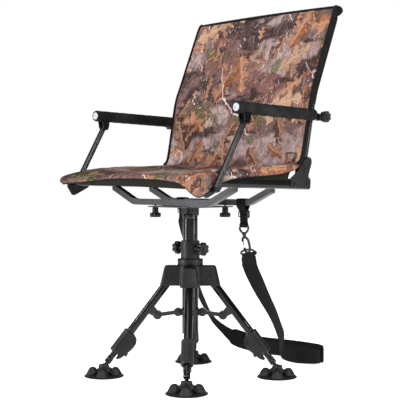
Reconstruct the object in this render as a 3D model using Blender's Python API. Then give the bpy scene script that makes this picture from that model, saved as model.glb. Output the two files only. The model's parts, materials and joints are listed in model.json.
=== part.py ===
"""Blind swivel chair: a padded folding chair on a four-legged pedestal that turns all the way round.

Metres, +Z up. The sitter faces -Y. The floor is z = 0, and POLE_Y puts the chair's box over the origin.
Shapes are made in a frame with the pedestal's axis at its origin, and one empty carries that shift.
"""

import math

import bmesh
import bpy
from mathutils import Matrix, Vector

# ---------------------------------------------------------------- driving dimensions
GAP = 0.0003  # between pieces that touch
POLE_Y = -0.048  # the pedestal's axis, from the middle of the chair's box

LEG_AZIMUTHS = {1: -45.0, 2: 45.0, 3: 135.0, 4: 225.0}
LEG_TILT = math.radians(37.0)
LEG_PIVOT = Vector((0.050, 0.0, 0.266))
LEG_R = 0.011
LEG_BORE_R = 0.0089
LEG_END = 0.206
CLAMP_FROM, CLAMP_TO, CLAMP_R = 0.183, 0.251, 0.0166
EXTENSION_R = 0.0082
EXTENSION_FROM, EXTENSION_TO = 0.105, 0.286
BALL_AT, BALL_R, STEM_R = 0.300, 0.009, 0.0045
LEVER_AT = (0.199, 0.0245)  # along the leg, and in from its axis
FORK_AT = (0.1025, 0.031)
FORK_HALF, ARM_HALF = 0.0064, 0.006
FOOT_R = 0.051
SLIDER_PIN = Vector((0.0325, 0.0, 0.1735))

HUB_BOTTOM, HUB_TOP = 0.2454, 0.298
COLUMN_R, COLUMN_BORE = 0.022, 0.0204
COLUMN_BOTTOM, COLUMN_TOP = 0.117, 0.3065
FLANGE_R, FLANGE_TOP = 0.03375, 0.3155
COLLAR_R, COLLAR_TOP = 0.025, 0.3637
COLLAR_KNOB_Z = 0.343
POST_R, POST_BOTTOM = 0.020, 0.190
POST_HOLE_PITCH = 0.021

PLATE_HALF, PLATE_Z, PLATE_THICK = 0.080, 0.4527, 0.003
PLATE_KNOB_X, PLATE_KNOB_Y = 0.064, 0.067
CRADLE_Y, CRADLE_SIZE, CRADLE_Z = 0.067, 0.016, 0.466
RAIL_X, RAIL_WIDE, RAIL_HIGH = 0.248, 0.022, 0.0275
RAIL_FRONT, RAIL_REAR = -0.200, 0.185
RAIL_SLOPE = 0.0271
ARM_X = 0.2745
BACK_PIVOT = Vector((0.0, 0.165, 0.548))
ARM_REAR = Vector((0.0, 0.195, 0.6875))
STRUT_BOTTOM = Vector((0.0, -0.174, 0.503))
ARM_CLEVIS = Vector((0.0, -0.074, 0.671))
UPRIGHT_R = 0.010
BEND_Z, TOP_Z = 0.750, 0.973
LEAN_LOW, LEAN_HIGH = math.tan(math.radians(11.6)), math.tan(math.radians(22.4))
GRIP_R, GRIP_FRONT, GRIP_REAR = 0.0148, -0.1045, 0.181
ARM_R = 0.0098
ARM_SLOPE = 0.0297

SEAT_HALF, SEAT_FRONT, SEAT_REAR = 0.262, -0.212, 0.100
BACK_HALF, BACK_FROM, BACK_TO = 0.2575, 0.650, 0.983

STRAP_WIDE, STRAP_THICK = 0.038, 0.0026
SHOULDER_PAD_WIDE, SHOULDER_PAD_THICK = 0.048, 0.006
NEAR_LOOP_X, FAR_LOOP_X = 0.134, -0.104

# name: colour, roughness, metallic
MATERIALS = {
    "gloss_black_tube": ((0.012, 0.012, 0.013), 0.28, 0.5),
    "satin_grey_tube": ((0.055, 0.055, 0.062), 0.40, 0.6),
    "black_plastic": ((0.022, 0.022, 0.024), 0.55, 0.0),
    "black_steel": ((0.030, 0.030, 0.032), 0.38, 0.7),
    "black_rubber": ((0.016, 0.016, 0.017), 0.80, 0.0),
    "black_foam": ((0.024, 0.024, 0.026), 0.90, 0.0),
    "camo_fabric": ((0.230, 0.150, 0.120), 0.85, 0.0),
    "black_webbing": ((0.010, 0.010, 0.010), 0.80, 0.0),
}

X, Y, Z = Vector((1, 0, 0)), Vector((0, 1, 0)), Vector((0, 0, 1))


# ---------------------------------------------------------------- scene and materials
def clear_scene():
    for obj in list(bpy.data.objects):
        bpy.data.objects.remove(obj, do_unlink=True)


def material(name):
    found = bpy.data.materials.get(name)
    if found:
        return found
    colour, roughness, metallic = MATERIALS[name]
    made = bpy.data.materials.new(name)
    made.use_nodes = True
    shader = made.node_tree.nodes["Principled BSDF"]
    shader.inputs["Base Color"].default_value = (*colour, 1.0)
    shader.inputs["Roughness"].default_value = roughness
    shader.inputs["Metallic"].default_value = metallic
    made.diffuse_color = (*colour, 1.0)
    return made


# ---------------------------------------------------------------- plain shapes
def shape_of(bm):
    bmesh.ops.recalc_face_normals(bm, faces=bm.faces)
    mesh = bpy.data.meshes.new("shape")
    bm.to_mesh(mesh)
    bm.free()
    obj = bpy.data.objects.new("shape", mesh)
    bpy.context.scene.collection.objects.link(obj)
    return obj


def rings_shape(rings, ends="caps"):
    """A skin over rings of points: closed by caps, by poles at single points, or onto its first ring."""
    bm = bmesh.new()
    made = [[bm.verts.new(p) for p in ring] for ring in rings]
    pairs = list(zip(made, made[1:]))
    if ends == "closed":
        pairs.append((made[-1], made[0]))
    for a, b in pairs:
        count = max(len(a), len(b))
        for i in range(count):
            j = (i + 1) % count
            if len(a) == 1:
                bm.faces.new((a[0], b[i], b[j]))
            elif len(b) == 1:
                bm.faces.new((a[i], b[0], a[j]))
            else:
                bm.faces.new((a[i], b[i], b[j], a[j]))
    if ends == "caps":
        for ring in (made[0], made[-1]):
            if len(ring) > 2:
                bm.faces.new(ring)
    return shape_of(bm)


def axes_along(direction):
    """Two unit vectors square to a direction and to each other."""
    direction = direction.normalized()
    side = direction.cross(Z if abs(direction.z) < 0.9 else X).normalized()
    return side, direction.cross(side)


def circle(centre, direction, radius, sides):
    side, up = axes_along(direction)
    turns = (2 * math.pi * i / sides for i in range(sides))
    return [centre + radius * (math.cos(t) * side + math.sin(t) * up) for t in turns]


def rod(start, end, radius, sides=10, end_radius=None):
    start, end = Vector(start), Vector(end)
    along = end - start
    far = radius if end_radius is None else end_radius
    return rings_shape([circle(start, along, radius, sides), circle(end, along, far, sides)])


def turned(profile, start, direction, sides=18, ends="poles"):
    """A profile of (radius, height) points turned about an axis; a radius of 0 is a pole."""
    start, direction = Vector(start), Vector(direction).normalized()
    rings = []
    for radius, height in profile:
        centre = start + height * direction
        rings.append([centre] if radius == 0 else circle(centre, direction, radius, sides))
    return rings_shape(rings, ends)


def tube(start, end, radius, bore, sides=18):
    long = (Vector(end) - Vector(start)).length
    profile = [(radius, 0), (radius, long), (bore, long), (bore, 0)]
    return turned(profile, start, Vector(end) - Vector(start), sides, "closed")


def block(low, high):
    corners = [(low[0], low[1]), (high[0], low[1]), (high[0], high[1]), (low[0], high[1])]
    return rings_shape([[Vector((x, y, z)) for x, y in corners] for z in (low[2], high[2])])


def prism(outline, axis, low, high):
    """An outline of 2-D points, pushed along axis from low to high."""
    def place(u, v, w):
        return {"x": Vector((w, u, v)), "y": Vector((u, w, v)), "z": Vector((u, v, w))}[axis]

    return rings_shape([[place(u, v, w) for u, v in outline] for w in (low, high)])


def ball(centre, radii, sides=10, rings=6):
    bm = bmesh.new()
    bmesh.ops.create_uvsphere(bm, u_segments=sides, v_segments=rings, radius=1.0)
    bmesh.ops.transform(bm, matrix=Matrix.LocRotScale(Vector(centre), None, Vector(radii)), verts=bm.verts)
    return shape_of(bm)


def pushed(points, radius, sides=14):
    """A round bar along points, with a ring at each that is square to the path."""
    rings = []
    for i, point in enumerate(points):
        before, after = points[max(i - 1, 0)], points[min(i + 1, len(points) - 1)]
        rings.append(circle(point, after - before, radius, sides))
    return rings_shape(rings)


def closed_loop(points, radius, sides=8):
    """A round bar along points and back to the first one, as a ring of wire."""
    rings = []
    for i, point in enumerate(points):
        along = points[(i + 1) % len(points)] - points[i - 1]
        rings.append(circle(point, along, radius, sides))
    return rings_shape(rings, "closed")


def slab(across, along, top, bottom):
    """A closed cushion between two surfaces, each a function of two numbers, over a grid."""
    bm = bmesh.new()
    faces = []
    for surface in (top, bottom):
        faces.append([[bm.verts.new(surface(a, b)) for b in along] for a in across])
    for grid in faces:
        for i in range(len(across) - 1):
            for j in range(len(along) - 1):
                bm.faces.new((grid[i][j], grid[i + 1][j], grid[i + 1][j + 1], grid[i][j + 1]))
    upper, lower = faces
    last_a, last_b = len(across) - 1, len(along) - 1
    rim = [(i, 0) for i in range(last_a)] + [(last_a, j) for j in range(last_b)]
    rim += [(i, last_b) for i in range(last_a, 0, -1)] + [(0, j) for j in range(last_b, 0, -1)]
    for (i, j), (k, m) in zip(rim, rim[1:] + rim[:1]):
        bm.faces.new((upper[i][j], upper[k][m], lower[k][m], lower[i][j]))
    return shape_of(bm)


def steps(low, high, count):
    return [low + (high - low) * i / count for i in range(count + 1)]


def arc(centre, radius, start, end, count):
    """Points of an arc in two dimensions, with its angles in degrees."""
    angles = (math.radians(a) for a in steps(start, end, count))
    return [(centre[0] + radius * math.cos(a), centre[1] + radius * math.sin(a)) for a in angles]


# ---------------------------------------------------------------- joining and placing
def fused(shapes, cuts=()):
    """One closed mesh: the shapes joined, and then cut."""
    first = shapes[0]
    for operation, others in (("UNION", shapes[1:]), ("DIFFERENCE", cuts)):
        for other in others:
            step = first.modifiers.new(operation, "BOOLEAN")
            step.operation, step.solver, step.object = operation, "EXACT", other
    bpy.context.view_layer.update()
    result = bpy.data.meshes.new_from_object(first.evaluated_get(bpy.context.evaluated_depsgraph_get()))
    for other in [*shapes, *cuts]:
        bpy.data.objects.remove(other, do_unlink=True)
    return result


def part(name, look, mesh, pivot=(0, 0, 0), azimuth=0.0):
    """An object whose origin is its joint's axis. azimuth turns a leg's piece about the pedestal."""
    pivot = Vector(pivot)
    if not mesh.get("placed"):
        mesh.transform(Matrix.Translation(-pivot))
        mesh.materials.clear()
        mesh.materials.append(material(look))
        mesh.shade_smooth()
        mesh.set_sharp_from_angle(angle=math.radians(35))
        mesh["placed"] = True
    turn = Matrix.Rotation(math.radians(azimuth), 4, "Z")
    obj = bpy.data.objects.new(name, mesh)
    bpy.context.scene.collection.objects.link(obj)
    obj.location = turn @ pivot
    obj.rotation_euler = (0.0, 0.0, math.radians(azimuth))
    obj.parent = bpy.data.objects["chair_frame"]
    return obj


# ---------------------------------------------------------------- knobs
def star_outline(radius, lobes=8, depth=0.16):
    return [(radius * (1 - depth * (i % 2)), math.pi * i / lobes) for i in range(2 * lobes)]


def star_knob(centre, direction, radius, thick, boss, boss_long, stud, stud_long):
    """A lobed knob from centre outwards, its boss and its stud reaching back the other way."""
    centre, direction = Vector(centre), Vector(direction)
    side, up = axes_along(direction)
    rings = []
    for height in (0.0, thick):
        points = star_outline(radius)
        level = centre + direction * height
        rings.append([level + r * (math.cos(a) * side + math.sin(a) * up) for r, a in points])
    shapes = [rings_shape(rings)]
    shapes.append(rod(centre - direction * boss_long, centre + direction * thick / 3, boss, 10))
    shapes.append(rod(centre - direction * stud_long, centre + direction * thick / 2, stud, 8))
    return fused(shapes)


# ---------------------------------------------------------------- legs
def on_leg(along, inward=0.0, across=0.0):
    """A point of a leg: along it from its pivot, in from its axis, and across it."""
    s, c = math.sin(LEG_TILT), math.cos(LEG_TILT)
    return LEG_PIVOT + Vector((along * s - inward * c, across, -along * c - inward * s))


def leg_prism(outline, half):
    flat = [on_leg(along, inward) for along, inward in outline]
    return rings_shape([[p + side * Y for p in flat] for side in (-half, half)])


def across_leg(along, inward, radius, half, sides=10):
    return rod(on_leg(along, inward, -half), on_leg(along, inward, half), radius, sides)


def leg_tube():
    fork_s, fork_h = FORK_AT
    web = [(fork_s - 0.014, 0.005), (fork_s + 0.014, 0.005)]
    web += [(fork_s + 0.0085, fork_h), (fork_s - 0.0085, fork_h)]
    shapes = [
        rod(on_leg(0), on_leg(LEG_END), LEG_R, 14),
        across_leg(0, 0, LEG_R, 0.0104, 12),
        leg_prism(web, 0.0096),
        across_leg(fork_s, fork_h, 0.0085, 0.0098),
        across_leg(fork_s, fork_h, 0.0045, 0.0118, 6),
    ]
    slot = [(fork_s - 0.030, 0.0135), (fork_s + 0.030, 0.0135)]
    slot += [(fork_s + 0.030, 0.06), (fork_s - 0.030, 0.06)]
    cuts = [
        rod(on_leg(0.030), on_leg(LEG_END + 0.01), LEG_BORE_R, 12),
        across_leg(0, 0, 0.0044, 0.02, 8),
        leg_prism(slot, FORK_HALF),
    ]
    return fused(shapes, cuts)


def leg_clamp():
    lever_s, lever_h = LEVER_AT
    cheek = [(CLAMP_FROM + 0.002, 0.0), (CLAMP_FROM + 0.002, 0.0185), (0.215, 0.0205)]
    cheek += [(0.262, 0.0150), (0.262, 0.0115), (CLAMP_TO - 0.001, 0.0)]
    shapes = [
        rod(on_leg(CLAMP_FROM), on_leg(CLAMP_TO), CLAMP_R, 12),
        leg_prism(cheek, 0.0105),
        across_leg(lever_s, lever_h, 0.0055, 0.0102, 8),
        leg_prism([(lever_s - 0.0055, 0.015), (lever_s - 0.0055, lever_h), (lever_s + 0.0055, lever_h),
                   (lever_s + 0.0055, 0.015)], 0.0100),
    ]
    slot = [(lever_s - 0.012, 0.0178), (lever_s + 0.010, 0.0178)]
    slot += [(lever_s + 0.010, 0.04), (lever_s - 0.012, 0.04)]
    cuts = [
        rod(on_leg(CLAMP_FROM - 0.01), on_leg(LEG_END + GAP), LEG_R + GAP, 14),
        rod(on_leg(LEG_END - 0.002), on_leg(0.27), LEG_BORE_R, 12),
        leg_prism(slot, FORK_HALF),
        across_leg(lever_s, lever_h, 0.0026, 0.02, 8),
    ]
    return fused(shapes, cuts)


def clamp_lever():
    s, h = LEVER_AT
    profile = [(-0.006, 0.001), (-0.003, 0.0055), (0.010, 0.0075), (0.024, 0.0068)]
    profile += [(0.036, 0.0035), (0.044, 0.0050), (0.044, 0.0020), (0.036, -0.0010)]
    profile += [(0.024, -0.0024), (0.008, -0.0030), (0.001, -0.0052), (-0.005, -0.0035)]
    outline = [(s + along, h + inward) for along, inward in profile]
    return fused([leg_prism(outline, 0.0059), across_leg(s, h, 0.0020, 0.0098, 8)])


def leg_extension():
    shapes = [
        rod(on_leg(EXTENSION_FROM), on_leg(EXTENSION_TO - 0.010), EXTENSION_R, 12),
        rod(on_leg(EXTENSION_TO - 0.012), on_leg(EXTENSION_TO), EXTENSION_R + 0.0006, 12),
        rod(on_leg(EXTENSION_TO - 0.003), on_leg(BALL_AT - 0.002), STEM_R, 8),
        ball(on_leg(BALL_AT), (BALL_R,) * 3, 10, 6),
    ]
    return fused(shapes)


def foot():
    centre = on_leg(BALL_AT)
    ground = Vector((centre.x, 0, 0))
    rim = [(0, -0.002), (FOOT_R, -0.002), (FOOT_R, 0.0025), (FOOT_R - 0.004, 0.0055), (0, 0.0085)]
    shapes = [turned(rim, ground, Z, 16), rod(ground - 0.002 * Z, ground + 0.0320 * Z, 0.0146, 12, 0.0138)]
    for side in (X, Y, -X, -Y):
        radii = (0.0165, 0.0115, 0.0225) if side in (X, -X) else (0.0115, 0.0165, 0.0225)
        shapes.append(ball(ground + 0.0300 * side + 0.0015 * Z, radii, 8, 4))
    cuts = [
        block(ground + Vector((-0.08, -0.08, -0.04)), ground + Vector((0.08, 0.08, 0.0))),
        ball(centre, (BALL_R + 0.0009,) * 3, 10, 6),
        block(ground + Vector((-0.024, -0.0064, 0.0225)), ground + Vector((0.0, 0.0064, 0.06))),
        rod(centre + 0.003 * Z, centre + 0.03 * Z, 0.0089, 10),
    ]
    return fused(shapes, cuts)


def brace_arm():
    fork = on_leg(*FORK_AT)
    pin, end = (SLIDER_PIN.x, SLIDER_PIN.z), (fork.x, fork.z)
    along = Vector((end[0] - pin[0], end[1] - pin[1])).normalized()
    side = Vector((-along.y, along.x)) * 0.0042
    corners = [Vector(pin) - side, Vector(end) - side, Vector(end) + side, Vector(pin) + side]
    shapes = [
        prism([tuple(c) for c in corners], "y", -0.0050, 0.0050),
        rod(SLIDER_PIN - ARM_HALF * Y, SLIDER_PIN + ARM_HALF * Y, 0.0061),
        rod(fork - ARM_HALF * Y, fork + ARM_HALF * Y, 0.0072),
    ]
    return fused(shapes, [rod(SLIDER_PIN - 0.02 * Y, SLIDER_PIN + 0.02 * Y, 0.0026, 8)])


def make_legs():
    pieces = {
        "leg_tube": ("gloss_black_tube", leg_tube(), LEG_PIVOT),
        "leg_clamp": ("black_plastic", leg_clamp(), LEG_PIVOT),
        "clamp_lever": ("black_plastic", clamp_lever(), on_leg(*LEVER_AT)),
        "leg_extension": ("gloss_black_tube", leg_extension(), on_leg(BALL_AT)),
        "foot": ("black_rubber", foot(), on_leg(BALL_AT)),
        "brace_arm": ("black_steel", brace_arm(), SLIDER_PIN),
    }
    for number, azimuth in LEG_AZIMUTHS.items():
        for name, (look, mesh, pivot) in pieces.items():
            part(f"{name}_{number}", look, mesh, pivot, azimuth)


# ---------------------------------------------------------------- pedestal
def turned_shape(shape, degrees):
    """A shape turned about the pedestal."""
    shape.data.transform(Matrix.Rotation(math.radians(degrees), 4, "Z"))
    return shape


def make_hub():
    side = [(0.010, HUB_BOTTOM), (0.080, HUB_BOTTOM), (0.0685, HUB_TOP - 0.003)]
    side += [(0.0660, HUB_TOP), (0.010, HUB_TOP)]
    hollow = [(0.034, HUB_BOTTOM - 0.01), (0.0782, HUB_BOTTOM - 0.01), (0.0650, HUB_TOP - 0.0035)]
    hollow += [(0.034, HUB_TOP - 0.0035)]
    shapes = [rod((0, 0, HUB_BOTTOM), (0, 0, HUB_TOP), 0.0310, 20)]
    cuts = [rod((0, 0, HUB_BOTTOM - 0.01), (0, 0, HUB_TOP + 0.01), COLUMN_R + 0.0006, 20)]
    bolts = []
    for azimuth in LEG_AZIMUTHS.values():
        shapes.append(turned_shape(prism(side, "y", -0.022, 0.022), azimuth))
        cuts.append(turned_shape(prism(hollow, "y", -0.0125, 0.0125), azimuth))
        cuts.append(turned_shape(rod(on_leg(0.004), on_leg(0.07), 0.0130, 14), azimuth))
        for end in (-1, 1):
            hole = rod(LEG_PIVOT + end * 0.0190 * Y, LEG_PIVOT + end * 0.03 * Y, 0.0040, 8)
            cuts.append(turned_shape(hole, azimuth))
        bolt = rod(LEG_PIVOT - 0.0160 * Y, LEG_PIVOT + 0.0160 * Y, 0.0040, 8)
        bolts.append(turned_shape(bolt, azimuth))
    casting = part_shape(fused(shapes, cuts))
    part("leg_hub", "black_plastic", fused([casting, *bolts]))


def part_shape(mesh):
    """A finished mesh as a shape again, for a further union."""
    obj = bpy.data.objects.new("shape", mesh)
    bpy.context.scene.collection.objects.link(obj)
    return obj


def make_column():
    column = tube((0, 0, COLUMN_BOTTOM), (0, 0, COLUMN_TOP), COLUMN_R, COLUMN_BORE, 20)
    part("center_column", "gloss_black_tube", fused([column]))


def make_slider():
    low, high = SLIDER_PIN.z - 0.008, SLIDER_PIN.z + 0.008
    ring = tube((0, 0, low), (0, 0, high), 0.0257, COLUMN_R + 0.0006, 20)
    shapes, cuts, pins = [ring], [], []
    for azimuth in LEG_AZIMUTHS.values():
        web = block((0.0240, -0.0094, low + 0.002), (SLIDER_PIN.x, 0.0094, high - 0.002))
        knuckle = rod(SLIDER_PIN - 0.0096 * Y, SLIDER_PIN + 0.0096 * Y, 0.0070, 10)
        slot = block((0.0259, -FORK_HALF, low - 0.01), (0.06, FORK_HALF, high + 0.01))
        pin = rod(SLIDER_PIN - 0.0090 * Y, SLIDER_PIN + 0.0090 * Y, 0.0020, 6)
        shapes += [turned_shape(web, azimuth), turned_shape(knuckle, azimuth)]
        cuts.append(turned_shape(slot, azimuth))
        pins.append(turned_shape(pin, azimuth))
    ring_cut = rod((0, 0, low - 0.01), (0, 0, high + 0.01), COLUMN_R + 0.0006, 20)
    casting = part_shape(fused(shapes, [*cuts, ring_cut]))
    part("brace_slider", "black_plastic", fused([casting, *pins]), (0, 0, SLIDER_PIN.z))


def make_collar():
    profile = [(FLANGE_R, 0), (FLANGE_R, FLANGE_TOP - HUB_TOP), (COLLAR_R, FLANGE_TOP - HUB_TOP)]
    profile += [(COLLAR_R, COLLAR_TOP - HUB_TOP), (POST_R + 0.0004, COLLAR_TOP - HUB_TOP)]
    recess = COLUMN_TOP + GAP - HUB_TOP
    profile += [(POST_R + 0.0004, recess), (COLUMN_R + 0.0004, recess), (COLUMN_R + 0.0004, 0)]
    body = turned(profile, (0, 0, HUB_TOP + GAP), Z, 18, "closed")
    shapes, cuts = [body], []
    for side in (-1, 1):
        shapes.append(rod((side * 0.0225, 0, COLLAR_KNOB_Z), (side * 0.0340, 0, COLLAR_KNOB_Z), 0.0075, 10))
        cuts.append(rod((side * 0.015, 0, COLLAR_KNOB_Z), (side * 0.04, 0, COLLAR_KNOB_Z), 0.0036, 8))
    part("swivel_collar", "black_plastic", fused(shapes, cuts))
    for side, name in ((-1, "collar_knob_right"), (1, "collar_knob_left")):
        knob_at = (side * 0.0390, 0, COLLAR_KNOB_Z)
        knob = star_knob(knob_at, side * X, 0.0147, 0.0170, 0.0080, 0.0045, 0.0030, 0.0180)
        part(name, "black_plastic", knob, knob_at)


def make_post():
    post = tube((0, 0, POST_BOTTOM), (0, 0, PLATE_Z - GAP), POST_R, POST_R - 0.002, 20)
    holes = []
    for i in range(9):
        z = POST_BOTTOM + 0.062 + i * POST_HOLE_PITCH
        holes.append(rod((0.010, 0, z), (0.03, 0, z), 0.0030, 6))
    part("seat_post", "gloss_black_tube", fused([post], holes))


# ---------------------------------------------------------------- seat frame
def make_plate():
    plate = block((-PLATE_HALF, -PLATE_HALF, PLATE_Z), (PLATE_HALF, PLATE_HALF, PLATE_Z + PLATE_THICK))
    corners = [(x * PLATE_KNOB_X, y * PLATE_KNOB_Y) for x in (-1, 1) for y in (-1, 1)]
    holes = [rod((x, y, PLATE_Z - 0.01), (x, y, PLATE_Z + 0.01), 0.0036, 8) for x, y in corners]
    part("mount_plate", "satin_grey_tube", fused([plate], holes))
    for (x, y), name in zip(corners, ("front_right", "rear_right", "front_left", "rear_left")):
        top = (x, y, PLATE_Z - GAP - 0.0150)
        knob = star_knob(top, -Z, 0.0150, 0.0115, 0.0085, 0.0150, 0.0030, 0.0230)
        part(f"plate_knob_{name}", "black_plastic", knob, top)


def bent_outline(points, thick, radius):
    """The outline of a flat bent bar: two rows beside a path whose corners are arcs."""
    path = [Vector(points[0])]
    for before, corner, after in zip(points, points[1:], points[2:]):
        before, corner, after = Vector(before), Vector(corner), Vector(after)
        into, out = (corner - before).normalized(), (after - corner).normalized()
        turn = into.angle_signed(out)
        cut = radius * math.tan(abs(turn) / 2)
        start, end = corner - into * cut, corner + out * cut
        for share in (0, 0.25, 0.5, 0.75, 1.0):
            path.append((1 - share) ** 2 * start + 2 * share * (1 - share) * corner + share**2 * end)
    path.append(Vector(points[-1]))
    upper, lower = [], []
    for i, point in enumerate(path):
        along = (path[min(i + 1, len(path) - 1)] - path[max(i - 1, 0)]).normalized()
        side = Vector((-along.y, along.x)) * thick / 2
        if i in (0, len(path) - 1):
            side = Vector((0, thick / 2 / abs(along.x)))
        upper.append(tuple(point + side))
        lower.append(tuple(point - side))
    return upper + lower[::-1]


def make_cradle():
    end_x = RAIL_X - RAIL_WIDE / 2 - GAP
    for name, y, bend_x, rise in (("front", -CRADLE_Y, 0.147, 0.444), ("rear", CRADLE_Y, 0.155, 0.430)):
        end_z = CRADLE_Z + (end_x - bend_x) * rise
        path = [(-end_x, end_z), (-bend_x, CRADLE_Z), (bend_x, CRADLE_Z), (end_x, end_z)]
        outline = bent_outline(path, CRADLE_SIZE, 0.045)
        bar = prism(outline, "y", y - CRADLE_SIZE / 2, y + CRADLE_SIZE / 2)
        holes = []
        for x in (-PLATE_KNOB_X, PLATE_KNOB_X):
            holes.append(rod((x, y, CRADLE_Z - 0.02), (x, y, CRADLE_Z - 0.002), 0.0038, 8))
        part(f"cradle_tube_{name}", "satin_grey_tube", fused([bar], holes))


def rail_z(y):
    """The height of a seat rail's middle."""
    return 0.5077 + RAIL_HIGH / 2 - (y + 0.125) * RAIL_SLOPE


def rounded_section(centre, wide, high, radius):
    corners = [(wide / 2 - radius, high / 2 - radius, 0), (radius - wide / 2, high / 2 - radius, 90)]
    corners += [(radius - wide / 2, radius - high / 2, 180), (wide / 2 - radius, radius - high / 2, 270)]
    points = []
    for u, v, angle in corners:
        points += arc((u, v), radius, angle, angle + 90, 2)
    return [centre + u * X + v * Z for u, v in points]


REAR_BOLTS = ((0.134, 0.5150), (0.170, 0.5138))
FRONT_BOLTS = ((-0.192, 0.5235), (-0.152, 0.5225))


def make_rails():
    for side, name in ((-1, "right"), (1, "left")):
        x = side * RAIL_X
        rings = []
        ends = ((RAIL_FRONT, 0.003), (RAIL_FRONT + 0.004, 0), (RAIL_REAR - 0.006, 0), (RAIL_REAR, 0.003))
        for y, shrink in ends:
            centre = Vector((x, y, rail_z(y)))
            rings.append(rounded_section(centre, RAIL_WIDE - shrink, RAIL_HIGH - shrink, 0.006))
        holes = [rod((x - 0.03, y, z), (x + 0.03, y, z), 0.0036, 8) for y, z in (*REAR_BOLTS, *FRONT_BOLTS)]
        part(f"seat_rail_{name}", "gloss_black_tube", fused([rings_shape(rings)], holes))


def side_plate(outline, side, inner, outer):
    low, high = sorted((side * inner, side * outer))
    return prism(outline, "x", low, high)


def side_pin(y, z, side, inner, outer, radius, sides=10):
    return rod((side * inner, y, z), (side * outer, y, z), radius, sides)


def make_hinge_brackets():
    """Two gussets on each rail that hold the back's hinge pin and its stop."""
    outline = [(0.112, 0.5060), (0.184, 0.5030), (0.1880, 0.5080), (0.1885, 0.566), (0.180, 0.5740)]
    outline += [(0.156, 0.5740), (0.148, 0.5680), (0.112, 0.5240)]
    face = RAIL_X + RAIL_WIDE / 2 + GAP
    back_face = RAIL_X - RAIL_WIDE / 2 - GAP
    for side, name in ((-1, "right"), (1, "left")):
        shapes = [
            side_plate(outline, side, face, face + 0.0025),
            side_plate(outline, side, back_face - 0.0025, back_face),
            side_pin(BACK_PIVOT.y, BACK_PIVOT.z, side, back_face - 0.004, face + 0.006, 0.0040),
            side_pin(BACK_PIVOT.y, BACK_PIVOT.z, side, face + 0.002, face + 0.0062, 0.0068, 6),
            side_pin(0.1826, 0.5645, side, back_face - 0.002, face + 0.002, 0.0026, 10),
        ]
        for y, z in REAR_BOLTS:
            shapes.append(side_pin(y, z, side, back_face - 0.004, face + 0.005, 0.0030, 8))
            shapes.append(side_pin(y, z, side, face + 0.002, face + 0.0052, 0.0056, 6))
        pivot = (side * RAIL_X, BACK_PIVOT.y, BACK_PIVOT.z)
        part(f"hinge_bracket_{name}", "black_steel", fused(shapes), pivot)


def make_strut_brackets():
    outline = [(-0.2105, 0.5290), (-0.2105, 0.5060), (-0.1960, 0.4850), (-0.1900, 0.4830), (-0.1840, 0.4840)]
    outline += [(-0.1410, 0.5035), (-0.1380, 0.5080), (-0.1380, 0.5290)]
    face = RAIL_X + RAIL_WIDE / 2 + GAP
    y, z = STRUT_BOTTOM.y, STRUT_BOTTOM.z
    for side, name in ((-1, "right"), (1, "left")):
        shapes = [
            side_plate(outline, side, face, face + 0.0025),
            side_pin(y, z, side, face, ARM_X - 0.0078, 0.0070),
            side_pin(y, z, side, face, ARM_X + 0.0120, 0.0040),
            side_pin(y, z, side, ARM_X + 0.0079, ARM_X + 0.0120, 0.0070, 6),
        ]
        for bolt_y, bolt_z in FRONT_BOLTS:
            shapes.append(side_pin(bolt_y, bolt_z, side, RAIL_X - 0.009, face + 0.002, 0.0030, 8))
            shapes.append(side_pin(bolt_y, bolt_z, side, face + 0.002, face + 0.0052, 0.0056, 6))
        part(f"strut_bracket_{name}", "black_steel", fused(shapes), (side * RAIL_X, y, z))


def make_seat_pad():
    """The sling's cushion: it lies on both rails, and hangs lower between them and at its front edge."""
    rail_inside = RAIL_X - RAIL_WIDE / 2

    def crown(x, y):
        sag = 0.011 * (1 - (x / SEAT_HALF) ** 2)
        droop = 0.009 if abs(x) > rail_inside - 0.01 else 0.024
        return Vector((x, y, 0.5615 - sag - droop * max(0.0, (-0.150 - y) / 0.062) ** 2))

    def under(x, y):
        on_rail = rail_z(y) + RAIL_HIGH / 2 + 0.0012
        return Vector((x, y, on_rail if abs(x) > rail_inside - 0.004 else crown(x, y).z - 0.022))

    half = [0.0, 0.08, 0.15, 0.205, rail_inside - 0.009, rail_inside - 0.002, SEAT_HALF]
    across = [-x for x in half[:0:-1]] + half
    along = [SEAT_FRONT, -0.195, -0.175, -0.150, -0.100, -0.040, 0.030, SEAT_REAR]
    part("seat_pad", "camo_fabric", fused([slab(across, along, crown, under)]))


# ---------------------------------------------------------------- back
def upright_y(z):
    """Where the back's tubes stand at a height: they lean, and lean more above the bend."""
    low = BACK_PIVOT.y + (min(z, BEND_Z) - BACK_PIVOT.z) * LEAN_LOW
    return low + max(0.0, z - BEND_Z) * LEAN_HIGH


def make_back():
    heights = [BACK_PIVOT.z, BEND_Z - 0.018, BEND_Z, BEND_Z + 0.018, TOP_Z + 0.006]
    shapes, cuts = [], []
    y, z = BACK_PIVOT.y, BACK_PIVOT.z
    for side in (-1, 1):
        x = side * RAIL_X
        shapes.append(pushed([Vector((x, upright_y(height), height)) for height in heights], UPRIGHT_R, 14))
        shapes.append(side_pin(y, z, side, RAIL_X - 0.0095, RAIL_X + 0.0095, UPRIGHT_R, 14))
        cuts.append(side_pin(y, z, side, RAIL_X - 0.02, RAIL_X + 0.02, 0.0046, 8))
    top = Vector((0, upright_y(TOP_Z), TOP_Z))
    shapes.append(rod(top - RAIL_X * X, top + RAIL_X * X, UPRIGHT_R - 0.0004, 14))
    part("back_frame", "satin_grey_tube", fused(shapes, cuts), BACK_PIVOT)


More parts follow.
